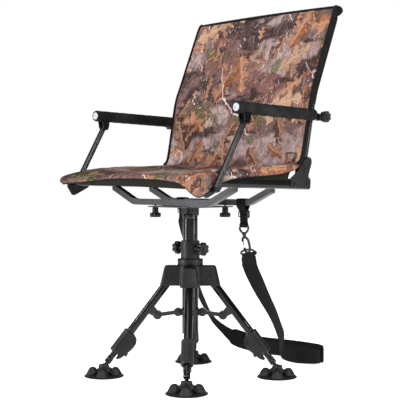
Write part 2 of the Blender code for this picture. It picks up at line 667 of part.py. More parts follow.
def make_back_pad():
    front_gap = (UPRIGHT_R + GAP) / math.cos(math.atan(LEAN_HIGH)) + GAP

    def rear(x, z):
        return Vector((x, upright_y(z) - front_gap, z))

    def front(x, z):
        edge = min(1.0, (BACK_HALF - abs(x)) / 0.03, (z - BACK_FROM) / 0.02, (BACK_TO - z) / 0.015)
        return Vector((x, upright_y(z) - front_gap - 0.007 - 0.006 * max(edge, 0.0), z))

    across = [-BACK_HALF, -0.2275, -0.15, -0.075, 0, 0.075, 0.15, 0.2275, BACK_HALF]
    along = [BACK_FROM, 0.670, BEND_Z - 0.018, BEND_Z, BEND_Z + 0.018, 0.86, 0.968, BACK_TO]
    part("back_pad", "camo_fabric", fused([slab(across, along, front, rear)]), BACK_PIVOT)


# ---------------------------------------------------------------- armrests
def arm_z(y):
    """The height of an armrest's axis."""
    return 0.6926 + (GRIP_REAR + 0.004 - y) * ARM_SLOPE


def arm_point(side, y):
    return Vector((side * ARM_X, y, arm_z(y)))


def make_arm(side, name):
    rear = ARM_REAR
    cheek = [(-0.0880, arm_z(-0.088)), (-0.0835, 0.6700)]
    cheek += arc((ARM_CLEVIS.y, ARM_CLEVIS.z), 0.0090, 190, 350, 6)
    cheek += [(-0.0645, 0.6700), (-0.0600, arm_z(-0.060))]
    tongue = [(0.160, arm_z(0.160) - 0.0080), (0.1818, arm_z(0.1818) - 0.0082)]
    tongue += [(rear.y - 0.003, rear.z - 0.0096)]
    tongue += arc((rear.y, rear.z), 0.0100, -75, 75, 6)
    tongue += [(rear.y - 0.003, rear.z + 0.0096)]
    tongue += [(0.1818, arm_z(0.1818) + 0.0082), (0.160, arm_z(0.160) + 0.0080)]
    shapes = [
        rod(arm_point(side, -0.1000), arm_point(side, 0.1740), ARM_R, 14),
        side_plate(tongue, side, ARM_X - 0.0040, ARM_X + 0.0040),
        side_plate(cheek, side, ARM_X - 0.0108, ARM_X - 0.0083),
        side_plate(cheek, side, ARM_X + 0.0083, ARM_X + 0.0108),
        side_pin(ARM_CLEVIS.y, ARM_CLEVIS.z, side, ARM_X - 0.0100, ARM_X + 0.0100, 0.0035),
        side_pin(ARM_CLEVIS.y, ARM_CLEVIS.z, side, ARM_X + 0.0100, ARM_X + 0.0140, 0.0055, 6),
    ]
    hole = side_pin(rear.y, rear.z, side, ARM_X - 0.02, ARM_X + 0.02, 0.0036, 8)
    pivot = (side * ARM_X, ARM_CLEVIS.y, ARM_CLEVIS.z)
    part(f"arm_tube_{name}", "gloss_black_tube", fused(shapes, [hole]), pivot)

    foam = tube(arm_point(side, GRIP_FRONT), arm_point(side, GRIP_REAR), GRIP_R, ARM_R + 0.0005, 18)
    low, high = sorted((side * (ARM_X - 0.0112), side * (ARM_X + 0.0112)))
    notch = block((low, -0.0890, 0.65), (high, -0.0590, arm_z(-0.089) + 0.0007))
    part(f"arm_grip_{name}", "black_foam", fused([foam], [notch]), pivot)

    knob_at = (side * (ARM_X + 0.0175), rear.y, rear.z)
    knob = star_knob(knob_at, side * X, 0.0147, 0.0180, 0.0065, 0.0130, 0.0030, 0.0290)
    part(f"arm_knob_{name}", "black_plastic", knob, knob_at)


def make_strut(side, name):
    bottom = Vector((side * ARM_X, STRUT_BOTTOM.y, STRUT_BOTTOM.z))
    top = Vector((side * ARM_X, ARM_CLEVIS.y, ARM_CLEVIS.z))
    shapes, cuts = [rod(bottom, top, 0.0075, 14)], []
    for end, bore in ((bottom, 0.0046), (top, 0.0041)):
        shapes.append(rod(end - 0.0073 * X, end + 0.0073 * X, 0.0075, 12))
        cuts.append(rod(end - 0.02 * X, end + 0.02 * X, bore, 8))
    part(f"strut_{name}", "gloss_black_tube", fused(shapes, cuts), bottom)


# ---------------------------------------------------------------- carry strap
# Where the strap's webbing goes: from the hook's ring, down to the floor behind the chair, round a turn, and
# back up behind the pedestal to its second loop.
STRAP_ROUTE = (
    (0.1505, 0.067, 0.3245), (0.1560, 0.070, 0.2950), (0.1650, 0.087, 0.2550), (0.1690, 0.115, 0.2100),
    (0.1590, 0.162, 0.1550), (0.1330, 0.212, 0.1060), (0.0930, 0.261, 0.0680), (0.0640, 0.300, 0.0400),
    (0.0700, 0.335, 0.0260), (0.0980, 0.352, 0.0240), (0.1200, 0.374, 0.0240), (0.1130, 0.402, 0.0240),
    (0.0800, 0.414, 0.0240), (0.0300, 0.416, 0.0240), (-0.0200, 0.412, 0.0240), (-0.0700, 0.404, 0.0240),
    (-0.1200, 0.391, 0.0260), (-0.1650, 0.366, 0.0380), (-0.1860, 0.325, 0.0640), (-0.1850, 0.270, 0.1050),
    (-0.1680, 0.215, 0.1560), (-0.1460, 0.165, 0.2130), (-0.1260, 0.118, 0.2850), (-0.1120, 0.083, 0.3500),
    (-0.1045, 0.0683, 0.4080),
)
RING_WIDTH_AXIS = Vector((0.685, 0.728, 0.0))
PAD_FROM, PAD_TO = 0.395, 0.655  # shares of the webbing that the shoulder pad lies along


def smooth_point(route, place):
    """A point of the smooth curve through the route, at a place counted in route points."""
    i = min(int(place), len(route) - 2)
    t = place - i
    p = [Vector(route[min(max(i + k, 0), len(route) - 1)]) for k in (-1, 0, 1, 2)]
    return 0.5 * (
        2 * p[1] + (p[2] - p[0]) * t + (2 * p[0] - 5 * p[1] + 4 * p[2] - p[3]) * t**2
        + (3 * p[1] - p[0] - 3 * p[2] + p[3]) * t**3
    )


def strap_frames(count):
    """Points along the webbing with the direction of its width and of its face, an even step apart."""
    fine = [smooth_point(STRAP_ROUTE, place) for place in steps(0, len(STRAP_ROUTE) - 1, 600)]
    travelled = [0.0]
    for a, b in zip(fine, fine[1:]):
        travelled.append(travelled[-1] + (b - a).length)
    frames = []
    for i in range(count + 1):
        goal = travelled[-1] * i / count
        j = max(1, next((k for k, t in enumerate(travelled) if t >= goal - 1e-9), 600))
        point = fine[j - 1].lerp(fine[j], (goal - travelled[j - 1]) / (travelled[j] - travelled[j - 1]))
        along = (fine[min(j + 2, 600)] - fine[max(j - 3, 0)]).normalized()
        start = min(1.0, max(0.0, (i / count - 0.06) / 0.20))
        end = min(1.0, max(0.0, (i / count - 0.74) / 0.20))
        wide = RING_WIDTH_AXIS.lerp(Z, start) if end == 0 else Z.lerp(X, end)
        wide = (wide - along * wide.dot(along)).normalized()
        frames.append((point, wide, along.cross(wide)))
    return frames


def ribbon(frames, wide, thick, shift_wide=0.0, shift_face=0.0):
    rings = []
    for point, width_axis, face_axis in frames:
        centre = point + shift_wide * width_axis + shift_face * face_axis
        u, v = width_axis * wide / 2, face_axis * thick / 2
        rings.append([centre - u - v, centre + u - v, centre + u + v, centre - u + v])
    return rings_shape(rings)


def webbing_loop(x, wide, bottom):
    """Webbing sewn in a loop round the rear cradle tube, with an eye at its lower end."""
    y, half, skin = CRADLE_Y, CRADLE_SIZE / 2 + 0.0005, 0.0022
    eye_z = bottom + 0.0065
    outer = [(y + half + skin, CRADLE_Z + half + skin), (y - half - skin, CRADLE_Z + half + skin)]
    outer += [(y - half - skin, CRADLE_Z - half - skin), (y - 0.0028, CRADLE_Z - half - 0.010)]
    outer += [(y - 0.0028, eye_z + 0.007)] + arc((y, eye_z), 0.0062, 150, 390, 8)
    outer += [(y + 0.0028, eye_z + 0.007), (y + 0.0028, CRADLE_Z - half - 0.010)]
    outer += [(y + half + skin, CRADLE_Z - half - skin)]
    band = prism(outer, "x", x - wide / 2, x + wide / 2)
    slider_half, slider_deep = wide / 2 + 0.003, 0.0045
    slider_low = (x - slider_half, y - slider_deep, bottom + 0.020)
    slider = block(slider_low, (x + slider_half, y + slider_deep, bottom + 0.030))
    window = block((x - wide, y - half, CRADLE_Z - half), (x + wide, y + half, CRADLE_Z + half))
    eye = rod((x - wide, y, eye_z), (x + wide, y, eye_z), 0.0040, 12)
    return fused([band, slider], [window, eye])


def make_strap_hardware():
    loop_bottom = 0.3990
    part("strap_loop_left", "black_webbing", webbing_loop(NEAR_LOOP_X, 0.026, loop_bottom))
    part("strap_loop_right", "black_webbing", webbing_loop(FAR_LOOP_X, 0.026, 0.4100))
    x, y, eye = NEAR_LOOP_X, CRADLE_Y, loop_bottom + 0.0065
    side = RING_WIDTH_AXIS.normalized()
    ring_middle = Vector((0.1505, y, 0.3380))
    d_ring = [(-0.0168, 0.0), (0.0168, 0.0), (0.0172, -0.0110)]
    d_ring += [(0.0060, -0.0205), (-0.0060, -0.0205), (-0.0172, -0.0110)]
    oval = [(-0.0185, -0.0060), (0.0185, -0.0060), (0.0205, -0.0020)]
    oval += [(0.0090, 0.0060), (-0.0090, 0.0060), (-0.0205, -0.0020)]
    shapes = [
        closed_loop([Vector((x + u, y, eye + v)) for u, v in d_ring], 0.0025),
        rod((x, y + 0.0001, eye - 0.0185), (x + 0.0031, y, eye - 0.0345), 0.0052, 10),
        rod((x + 0.0030, y, eye - 0.0320), (0.1487, y, 0.3440), 0.0036, 8, 0.0030),
        closed_loop([ring_middle + u * side + v * Z for u, v in oval], 0.0022),
    ]
    part("snap_hook", "black_steel", fused(shapes))


def make_strap():
    make_strap_hardware()
    count = 60
    frames = strap_frames(count)
    part("strap_webbing", "black_webbing", fused([ribbon(frames, STRAP_WIDE, STRAP_THICK)]))
    padded = frames[round(PAD_FROM * count):round(PAD_TO * count) + 1]
    beside = STRAP_THICK / 2 + SHOULDER_PAD_THICK / 2 + 0.0006
    pad = ribbon(padded, SHOULDER_PAD_WIDE, SHOULDER_PAD_THICK, 0.004, beside)
    part("shoulder_pad", "black_webbing", fused([pad]))


# ---------------------------------------------------------------- the chair
def main():
    clear_scene()
    frame = bpy.data.objects.new("chair_frame", None)
    bpy.context.scene.collection.objects.link(frame)
    frame.location = (0.0, POLE_Y, 0.0)
    make_legs()
    make_hub()
    make_column()
    make_slider()
    make_collar()
    make_post()
    make_plate()
    make_cradle()
    make_rails()
    make_hinge_brackets()
    make_strut_brackets()
    make_seat_pad()
    make_back()
    make_back_pad()
    for side, name in ((-1, "right"), (1, "left")):
        make_arm(side, name)
        make_strut(side, name)
    make_strap()


main()
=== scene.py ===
"""Blind swivel chair: the finish around the CAD frame.

Camo sling, foam grips, star knobs, clamps, feet and carry strap, with a procedural material on every piece.
Shapes are drawn with the pedestal at the origin; POLE_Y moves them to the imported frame, whose origin is the
middle of the CAD box's footprint.
"""

import json
import math

import bmesh
import bpy
from mathutils import Matrix, Vector, noise

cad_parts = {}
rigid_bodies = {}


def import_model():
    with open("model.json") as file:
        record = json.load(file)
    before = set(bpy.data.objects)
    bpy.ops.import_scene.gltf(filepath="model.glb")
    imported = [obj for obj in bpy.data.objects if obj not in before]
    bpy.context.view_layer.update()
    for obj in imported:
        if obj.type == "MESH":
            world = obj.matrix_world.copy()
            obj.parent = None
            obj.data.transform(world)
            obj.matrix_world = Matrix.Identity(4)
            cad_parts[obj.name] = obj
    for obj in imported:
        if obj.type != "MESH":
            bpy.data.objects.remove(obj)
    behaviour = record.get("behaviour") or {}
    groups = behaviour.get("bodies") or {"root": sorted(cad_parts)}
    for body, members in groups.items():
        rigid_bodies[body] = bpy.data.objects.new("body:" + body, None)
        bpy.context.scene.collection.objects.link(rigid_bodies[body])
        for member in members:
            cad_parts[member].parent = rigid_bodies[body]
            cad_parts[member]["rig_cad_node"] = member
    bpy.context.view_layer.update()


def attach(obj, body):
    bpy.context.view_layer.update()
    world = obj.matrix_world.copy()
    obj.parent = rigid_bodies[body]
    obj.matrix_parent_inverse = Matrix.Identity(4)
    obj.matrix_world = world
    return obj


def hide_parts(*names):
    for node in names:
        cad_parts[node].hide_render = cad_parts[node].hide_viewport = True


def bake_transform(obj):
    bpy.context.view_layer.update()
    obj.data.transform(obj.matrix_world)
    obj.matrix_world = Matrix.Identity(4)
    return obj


POLE_Y = -0.048
X, Y, Z = Vector((1, 0, 0)), Vector((0, 1, 0)), Vector((0, 0, 1))
SIDES = (("left", 1), ("right", -1))
LEG_AZIMUTHS = {1: -45.0, 2: 45.0, 3: 135.0, 4: 225.0}
LEG_TILT = math.radians(37.0)
LEG_PIVOT = Vector((0.050, 0.0, 0.266))
RAIL_X = 0.248
BACK_PIVOT = Vector((0.0, 0.165, 0.548))
BEND_Z = 0.750
LEAN_LOW, LEAN_HIGH = math.tan(math.radians(11.6)), math.tan(math.radians(22.4))
ARM_X = 0.2745
GRIP_FRONT, GRIP_REAR = -0.1045, 0.181
ARM_REAR = Vector((0.0, 0.195, 0.6875))
STRUT_LOW, STRUT_HIGH = (-0.174, 0.503), (-0.074, 0.671)  # y and z of a strut's two pivots
FORK_AT, FORK_IN = 0.1025, 0.0310  # a brace arm's pivot: along its leg, and in from the leg's axis
LEVER_AT, LEVER_IN = 0.199, 0.0245  # a clamp lever's pivot, in the same way
BALL_AT = 0.300  # the middle of a leg's ball, along the leg
COLLAR_KNOB_Z = 0.343
KNOB_LOBES, STUD_RADIUS, THREAD_PITCH = 7, 0.0030, 0.0009
FOOT_LOBES, CUP_SIDES = 4, 48
CLAMP_RIBS, LEVER_RIBS, RIB_PITCH, BUSH_RIBS = 15, 5, 0.0036, 24
VIEW = Vector((-0.7280, 0.6852, -0.0229))

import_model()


# ---------------------------------------------------------------- materials
LOOKS = {}  # every finished material, by name


class Wire:
    """A node's output. Arithmetic on it adds one Math node for each step."""

    def __init__(self, look, socket):
        self.look, self.socket = look, socket

    def __add__(self, other):
        return self.look.math("ADD", self, other)

    def __sub__(self, other):
        return self.look.math("SUBTRACT", self, other)

    def __rsub__(self, other):
        return self.look.math("SUBTRACT", other, self)

    def __mul__(self, other):
        return self.look.math("MULTIPLY", self, other)

    def __truediv__(self, other):
        return self.look.math("DIVIDE", self, other)


class Look:
    """A material built from nodes, one short call at a time."""

    def __init__(self, name, colour, roughness, **sockets):
        LOOKS[name] = bpy.data.materials.new(name)
        LOOKS[name].use_nodes = True
        self.tree = LOOKS[name].node_tree
        self.shader = self.tree.nodes["Principled BSDF"]
        self.shader.inputs["Base Color"].default_value = (*colour, 1.0)
        self.shader.inputs["Roughness"].default_value = roughness
        for socket, value in sockets.items():
            self.shader.inputs[socket.replace("_", " ")].default_value = value
        self.place = self.wire("TexCoord", "Object")

    def feed(self, socket, value):
        if isinstance(value, Wire):
            self.tree.links.new(value.socket, socket)
        elif socket.type == "RGBA" and len(value) == 3:
            socket.default_value = (*value, 1.0)
        else:
            socket.default_value = value

    def wires(self, kind, inputs=None, **settings):
        """A new node's outputs, by name and by number."""
        made = self.tree.nodes.new("ShaderNode" + kind)
        for key, value in settings.items():
            setattr(made, key, value)
        for key, value in (inputs or {}).items():
            self.feed(made.inputs[key], value)
        outputs = {output.name: Wire(self, output) for output in made.outputs}
        return {**outputs, **{i: Wire(self, output) for i, output in enumerate(made.outputs)}}

    def wire(self, kind, output, inputs=None, **settings):
        return self.wires(kind, inputs, **settings)[output]

    def fabric(self):
        """A place in the cloth's own measures: across it, and along it."""
        return self.wire("Attribute", "Vector", attribute_name="fabric")

    def split(self, value, kind="SeparateXYZ"):
        parts = self.wires(kind, {0: value})
        return [parts[i] for i in range(3)]

    def math(self, operation, *values):
        return self.wire("Math", 0, dict(enumerate(values)), operation=operation)

    def vector(self, operation, a, b, socket=1):
        return self.wire("VectorMath", 0, {0: a, socket: b}, operation=operation)

    def shifted(self, place, x, y):
        return self.vector("ADD", place, (x, y, 0.0))

    def stretched(self, place, x, y):
        return self.vector("MULTIPLY", place, (x, y, 1.0))

    def turned(self, place, angle):
        return self.wire("VectorRotate", 0, {"Vector": place, "Angle": angle}, rotation_type="Z_AXIS")

    def noise(self, scale, detail=2.0, roughness=0.5, place=None, distortion=0.0, output="Fac"):
        return self.wire("TexNoise", output, {
            "Vector": place or self.place, "Scale": scale, "Detail": detail,
            "Roughness": roughness, "Distortion": distortion,
        })

    def cells(self, scale):
        """How far a point is from the nearest of many scattered centres."""
        return self.wire("TexVoronoi", "Distance", {"Vector": self.place, "Scale": scale}, feature="F1")

    def weave(self, cloth, across, along):
        """Threads that cross, from 0 to 1, at so many radians a metre each way."""
        x, y, _ = self.split(cloth)
        threads = self.math("SINE", x * across) * self.math("SINE", y * along)
        return self.math("MULTIPLY_ADD", threads, 0.5, 0.5)

    def between(self, value, low, high, to_low=0.0, to_high=1.0):
        return self.wire("MapRange", "Result", {
            "Value": value, "From Min": low, "From Max": high, "To Min": to_low, "To Max": to_high,
        }, interpolation_type="SMOOTHSTEP")

    def mix(self, share, a, b):
        return self.wire("Mix", 2, {0: share, 6: a, 7: b}, data_type="RGBA")

    def ramp(self, value, stops):
        shade = self.wire("ValToRGB", "Color", {"Fac": value})
        points = shade.socket.node.color_ramp.elements
        while len(points) < len(stops):
            points.new(0.5)
        for point, (position, colour) in zip(points, stops):
            point.position = position
            point.color = (*colour, 1.0)
        return shade

    def bump(self, height, strength, distance, under=None):
        inputs = {"Height": height, "Strength": strength, "Distance": distance}
        if under is not None:
            inputs["Normal"] = under
        return self.wire("Bump", "Normal", inputs)

    def finish(self, colour, roughness, normal):
        for socket, value in (("Base Color", colour), ("Roughness", roughness), ("Normal", normal)):
            if value is not None:
                self.feed(self.shader.inputs[socket], value)


def coated_look(name, dark, light, roughness, peel, **sockets):
    """Paint or powder coat: a fine orange peel, and a little dust that dulls it in patches."""
    look = Look(name, dark, roughness, **sockets)
    dust = look.between(look.noise(9.0, 5.0, 0.6), 0.40, 0.75)
    shade = look.mix(dust * 0.6, dark, light)
    look.finish(shade, dust * 0.12 + roughness, look.bump(look.noise(420.0, 1.0), peel, 0.0004))


def moulded_look(name, dark, light, roughness, grain, depth):
    """Moulded plastic or rubber with a fine leathery grain, and paler scuffs on it."""
    look = Look(name, dark, roughness, Specular_IOR_Level=0.30)
    scuff = look.between(look.noise(36.0, 6.0, 0.7), 0.56, 0.74)
    shade = look.mix(scuff * 0.7, dark, light)
    look.finish(shade, look.noise(70.0) * 0.15 + roughness, look.bump(look.cells(grain), depth, 0.0006))


def woven_look(name, dark, light, pitch, depth, rib):
    """A plain or ribbed weave on the cloth's own measures, with painted shade between the threads and painted
    highlights on them.
    """
    look = Look(name, dark, 0.82, Specular_IOR_Level=0.12)
    cloth = look.fabric()
    turn = 2 * math.pi / pitch
    height = look.weave(cloth, turn, turn * rib)
    worn = look.between(look.noise(30.0, 5.0, 0.6, cloth), 0.42, 0.72)
    # Painted shade and highlight: the weave's height mixes thread crests towards the light colour and hollows
    # towards the dark one; worn patches are real wear.
    shade = look.mix(worn * 0.35, look.mix(height * 0.7, dark, light), light)
    look.finish(shade, None, look.bump(height, depth, 0.0007))


def foam_look():
    look = Look("black_foam", (0.012, 0.012, 0.013), 0.88, Specular_IOR_Level=0.12)
    patches = look.between(look.noise(40.0, 4.0), 0.35, 0.7)
    shade = look.mix(patches, (0.0085, 0.0082, 0.0082), (0.019, 0.0185, 0.0185))
    look.finish(shade, None, look.bump(look.cells(900.0), 0.55, 0.0006))


def end_cap_look():
    look = Look("end_cap", (0.36, 0.39, 0.42), 0.45)
    stain = look.between(look.noise(130.0, 4.0), 0.42, 0.72)
    shade = look.mix(stain, (0.43, 0.46, 0.49), (0.21, 0.23, 0.25))
    look.finish(shade, None, look.bump(look.noise(700.0), 0.1, 0.0003))


def zinc_look():
    look = Look("zinc_pin", (0.50, 0.49, 0.47), 0.34, Metallic=1.0)
    streaks = look.noise(300.0, 3.0, 0.6)
    shade = look.mix(streaks, (0.36, 0.35, 0.33), (0.66, 0.65, 0.62))
    look.finish(shade, look.between(streaks, 0.3, 0.7, 0.26, 0.45), look.bump(streaks, 0.08, 0.0003))


def floor_look():
    look = Look("floor", (0.9, 0.9, 0.9), 0.8, Specular_IOR_Level=0.0, Emission_Strength=0.90,
                Emission_Color=(1.0, 1.0, 1.0, 1.0))
    look.finish(look.mix(look.noise(1.2, 3.0), (0.86, 0.86, 0.86), (0.90, 0.90, 0.90)), None, None)


# ---------------------------------------------------------------- camouflage
BARK = ((0.0, (0.012, 0.007, 0.007)), (0.45, (0.042, 0.024, 0.025)), (0.75, (0.125, 0.078, 0.078)),
        (1.0, (0.34, 0.245, 0.235)))
GROUND = ((0.0, (0.022, 0.011, 0.011)), (0.34, (0.088, 0.048, 0.046)), (0.55, (0.185, 0.112, 0.105)),
          (0.75, (0.350, 0.240, 0.225)), (1.0, (0.66, 0.54, 0.51)))
LEAVES = ((0.0, (0.048, 0.017, 0.013)), (0.22, (0.130, 0.038, 0.022)), (0.45, (0.245, 0.072, 0.032)),
          (0.68, (0.350, 0.130, 0.056)), (0.86, (0.480, 0.300, 0.200)), (1.0, (0.150, 0.078, 0.070)))
STONE = ((0.0, (0.075, 0.044, 0.044)), (0.40, (0.220, 0.145, 0.142)), (0.58, (0.440, 0.325, 0.315)),
         (1.0, (0.74, 0.63, 0.61)))
MOSS = ((0.0, (0.016, 0.019, 0.006)), (0.5, (0.066, 0.074, 0.020)), (1.0, (0.240, 0.245, 0.110)))
RUST, SOOT = (0.185, 0.060, 0.042), (0.022, 0.012, 0.012)
FLECK, GRAIN = (0.84, 0.75, 0.66), (0.010, 0.005, 0.004)
LEAF_LIT, LEAF_SPOT = (0.52, 0.32, 0.20), (0.085, 0.032, 0.022)
LEAF_VEIN, LEAF_RIM = (0.70, 0.50, 0.34), (0.050, 0.022, 0.018)
THREADS = 7000.0  # of the printed cloth, in radians a metre


def leaf_layer(look, cloth, under, start, cell, size, chance):
    """Lobed leaves, one in some of a grid of jumbled cells, each turned and coloured its own way."""
    place = look.shifted(cloth, *start)
    wobble = look.vector("SUBTRACT", look.noise(42.0, 2.0, place=place, output="Color"), (0.5, 0.5, 0.5))
    wobble = look.vector("SCALE", wobble, size * 0.42, "Scale")
    place = look.vector("ADD", place, look.vector("MULTIPLY", wobble, (1.0, 1.0, 0.0)))
    cells = look.wires("TexVoronoi", {"Vector": place, "Scale": 1.0 / cell, "Randomness": 0.85},
                       voronoi_dimensions="2D", feature="F1")
    turn, tint, lot = look.split(cells["Color"], "SeparateColor")
    local = look.turned(look.vector("SUBTRACT", place, cells["Position"]), turn * math.tau)
    along, side, _ = look.split(look.vector("SCALE", local, 1.0 / size, "Scale"))
    across = look.math("ABSOLUTE", side)
    lobes = look.math("MULTIPLY_ADD", look.math("COSINE", along * 10.5 - across * 5.0), 0.19, 0.33)
    inside = (1.0 - along * along) * lobes - across
    rib_at = look.math("FRACT", (along + across * -0.9) * 4.2)
    ribs = look.between(look.math("ABSOLUTE", rib_at - 0.5), 0.02, 0.10, 0.6, 0.0)
    vein = look.between(across, 0.012, 0.040, 1.0, 0.0)
    spots = look.between(look.noise(150.0, 4.0, 0.65, place), 0.46, 0.72, 0.0, 0.75)
    shade = look.mix(look.between(side, -0.03, 0.03) * 0.38, look.ramp(tint, LEAVES), LEAF_LIT)
    shade = look.mix(spots, shade, LEAF_SPOT)
    shade = look.mix(look.math("MAXIMUM", vein, ribs) * 0.34, shade, LEAF_VEIN)
    shade = look.mix(look.between(inside, 0.02, 0.075, 1.0, 0.0) * 0.45, shade, LEAF_RIM)
    shape = look.between(inside, -0.008, 0.030)
    return look.mix(shape * look.math("GREATER_THAN", lot, 1.0 - chance), under, shade)


def twig_layer(look, cloth, under, start, angle, gap, width, reach, shady, lit):
    """Thin branches that wander across the cloth at about one angle, and stop and start."""
    place = look.shifted(cloth, *start)
    turned = look.turned(place, math.radians(angle))
    line = look.split(turned)[0] + look.noise(7.0, 3.0, 0.55, turned) * 0.16
    row = look.math("FRACT", line / gap) - 0.5
    thick = look.noise(16.0, 2.0, 0.5, place) * (2.0 * width)
    core = look.between(look.math("ABSOLUTE", row) * gap - thick, -0.0006, 0.0008, 1.0, 0.0)
    runs = look.between(look.noise(reach, 2.0, 0.5, turned), 0.48, 0.52)
    shade = look.mix(look.between(row, -0.01, 0.01) * 0.5, shady, lit)
    return look.mix(core * runs, under, shade)


def litter_layer(look, cloth, under, spot, angle, colour):
    """Short broken strokes at one angle: stalks, blades and splinters of bark."""
    turned = look.turned(look.shifted(cloth, spot, 1.7 * spot), math.radians(angle))
    drawn = look.noise(170.0, 4.0, 0.62, look.stretched(turned, 0.16, 1.0), 0.5)
    here = look.between(look.noise(19.0, 4.0, 0.6, turned), 0.47, 0.58)
    return look.mix(look.between(drawn, 0.55, 0.62) * (here * 0.60), under, colour)


def ground_layer(look, cloth, tall, wide):
    """What the leaves lie on: soil with rusty, barky, stony and dark patches, and tufts of moss."""
    shade = look.ramp(look.noise(24.0, 9.0, 0.74, cloth, 0.9), GROUND)
    rusty = look.between(look.noise(5.5, 3.0, 0.5, look.shifted(cloth, 2.2, 5.1)), 0.40, 0.60)
    shade = look.mix(rusty * 0.50, shade, RUST)
    barky = look.between(look.noise(8.5, 3.0, 0.55, wide), 0.50, 0.545)
    bark = look.ramp(look.between(look.noise(75.0, 8.0, 0.80, wide), 0.28, 0.78), BARK)
    shade = look.mix(barky * 0.94, shade, bark)
    stony = look.between(look.noise(7.0, 3.0, 0.5, look.shifted(wide, 6.3, 2.9)), 0.525, 0.575)
    shade = look.mix(stony * 0.92, shade, look.ramp(look.noise(48.0, 7.0, 0.70, tall), STONE))
    sooty = look.between(look.noise(22.0, 6.0, 0.7, tall, 0.8), 0.56, 0.61)
    shade = look.mix(sooty * 0.85, shade, SOOT)
    blade = look.noise(210.0, 3.0, 0.6, look.stretched(cloth, 0.35, 1.0), 1.2)
    mossy = look.between(look.noise(8.0, 4.0, 0.6, look.shifted(cloth, 3.1, 7.7)), 0.565, 0.61)
    tuft = mossy * look.between(blade, 0.36, 0.50)
    return look.mix(tuft * 0.92, shade, look.ramp(look.between(blade, 0.3, 0.75), MOSS))


# What lies on the ground, from the lowest layer up. Each starts somewhere else in its noise.
# Litter: its place in the noise, angle and colour. Leaves: start, size of a cell, size of a leaf, and how many
# cells have one. Twigs: start, angle, gap, half width, scale of their breaks, and their shady and lit colours.
LAYERS = (
    (litter_layer, 0.4, 28.0, (0.020, 0.011, 0.011)),
    (litter_layer, 5.3, -52.0, (0.46, 0.34, 0.30)),
    (litter_layer, 8.1, 83.0, (0.19, 0.075, 0.048)),
    (leaf_layer, (9.20, 6.60), 0.045, 0.025, 0.34),
    (twig_layer, (0.3, 0.1), 78.0, 0.21, 0.0032, 5.0, (0.035, 0.020, 0.018), (0.17, 0.11, 0.10)),
    (leaf_layer, (1.37, 0.42), 0.080, 0.046, 0.50),
    (twig_layer, (0.5, 0.9), 8.0, 0.17, 0.0022, 7.0, (0.060, 0.032, 0.034), (0.30, 0.20, 0.19)),
    (leaf_layer, (5.81, 3.14), 0.120, 0.070, 0.55),
    (twig_layer, (0.1, 0.7), -38.0, 0.26, 0.0017, 6.0, (0.50, 0.39, 0.35), (0.88, 0.80, 0.72)),
    (twig_layer, (0.8, 0.2), 31.0, 0.24, 0.0020, 8.0, (0.032, 0.018, 0.018), (0.20, 0.13, 0.12)),
)


def camo_look():
    look = Look("camo_fabric", (0.3, 0.2, 0.17), 0.80, Specular_IOR_Level=0.15)
    cloth = look.fabric()
    tall, wide = look.stretched(cloth, 1.0, 0.45), look.stretched(cloth, 0.5, 1.0)
    shade = ground_layer(look, cloth, tall, wide)
    for layer, *settings in LAYERS:
        shade = layer(look, cloth, shade, *settings)
    flecks = look.between(look.noise(120.0, 3.0, 0.6, tall, 1.5), 0.615, 0.66)
    area = look.between(look.noise(14.0, 2.0, 0.5, look.shifted(cloth, 9.0, 1.0)), 0.50, 0.62)
    shade = look.mix(flecks * (area * 0.9), shade, FLECK)
    grain = look.between(look.noise(260.0, 5.0, 0.75, wide), 0.58, 0.74, 0.17, 0.52)
    slack = look.noise(26.0, 4.0, 0.5, look.stretched(cloth, 1.0, 0.4))
    normal = look.bump(look.weave(cloth, THREADS, THREADS), 0.25, 0.0004, look.bump(slack, 0.30, 0.004))
    look.finish(look.mix(grain, shade, GRAIN), None, normal)


def make_looks():
    coated_look("gloss_black_tube", (0.0030, 0.0030, 0.0035), (0.0080, 0.0080, 0.0090), 0.12, 0.002,
                Specular_IOR_Level=0.32)
    coated_look("satin_grey_tube", (0.048, 0.048, 0.053), (0.068, 0.068, 0.075), 0.34, 0.08, Metallic=0.35)
    coated_look("black_steel", (0.0085, 0.0085, 0.0095), (0.020, 0.020, 0.022), 0.30, 0.06,
                Specular_IOR_Level=0.35)
    moulded_look("black_plastic", (0.0075, 0.0075, 0.0082), (0.026, 0.026, 0.028), 0.36, 850.0, 0.16)
    moulded_look("black_rubber", (0.0075, 0.0075, 0.0080), (0.024, 0.024, 0.025), 0.42, 700.0, 0.20)
    woven_look("black_webbing", (0.0035, 0.0035, 0.0040), (0.0130, 0.0130, 0.0140), 0.0024, 0.8, 0.5)
    woven_look("black_binding", (0.0040, 0.0040, 0.0045), (0.0120, 0.0120, 0.0125), 0.0016, 0.5, 1.0)
    woven_look("olive_lining", (0.0065, 0.0060, 0.0045), (0.0190, 0.0175, 0.0125), 0.0018, 0.5, 1.0)
    foam_look()
    camo_look()
    end_cap_look()
    zinc_look()
    floor_look()


make_looks()
NODE_LOOKS = {
    "gloss_black_tube": ("leg_tube", "leg_extension", "center_column", "seat_post", "seat_rail", "back_frame",
                         "arm_tube", "strut"),
    "satin_grey_tube": ("mount_plate", "cradle_tube"),
    "black_plastic": ("leg_clamp", "clamp_lever", "leg_hub", "brace_slider", "swivel_collar", "collar_knob",
                      "plate_knob", "arm_knob"),
    "black_steel": ("brace_arm", "hinge_bracket", "strut_bracket", "snap_hook"),
    "black_rubber": ("foot",),
    "black_foam": ("arm_grip",),
    "camo_fabric": ("seat_pad", "back_pad"),
    "black_webbing": ("strap_loop", "strap_webbing", "shoulder_pad"),
}
EDGE_ANGLE, WELD_DISTANCE = math.radians(38), 0.00001


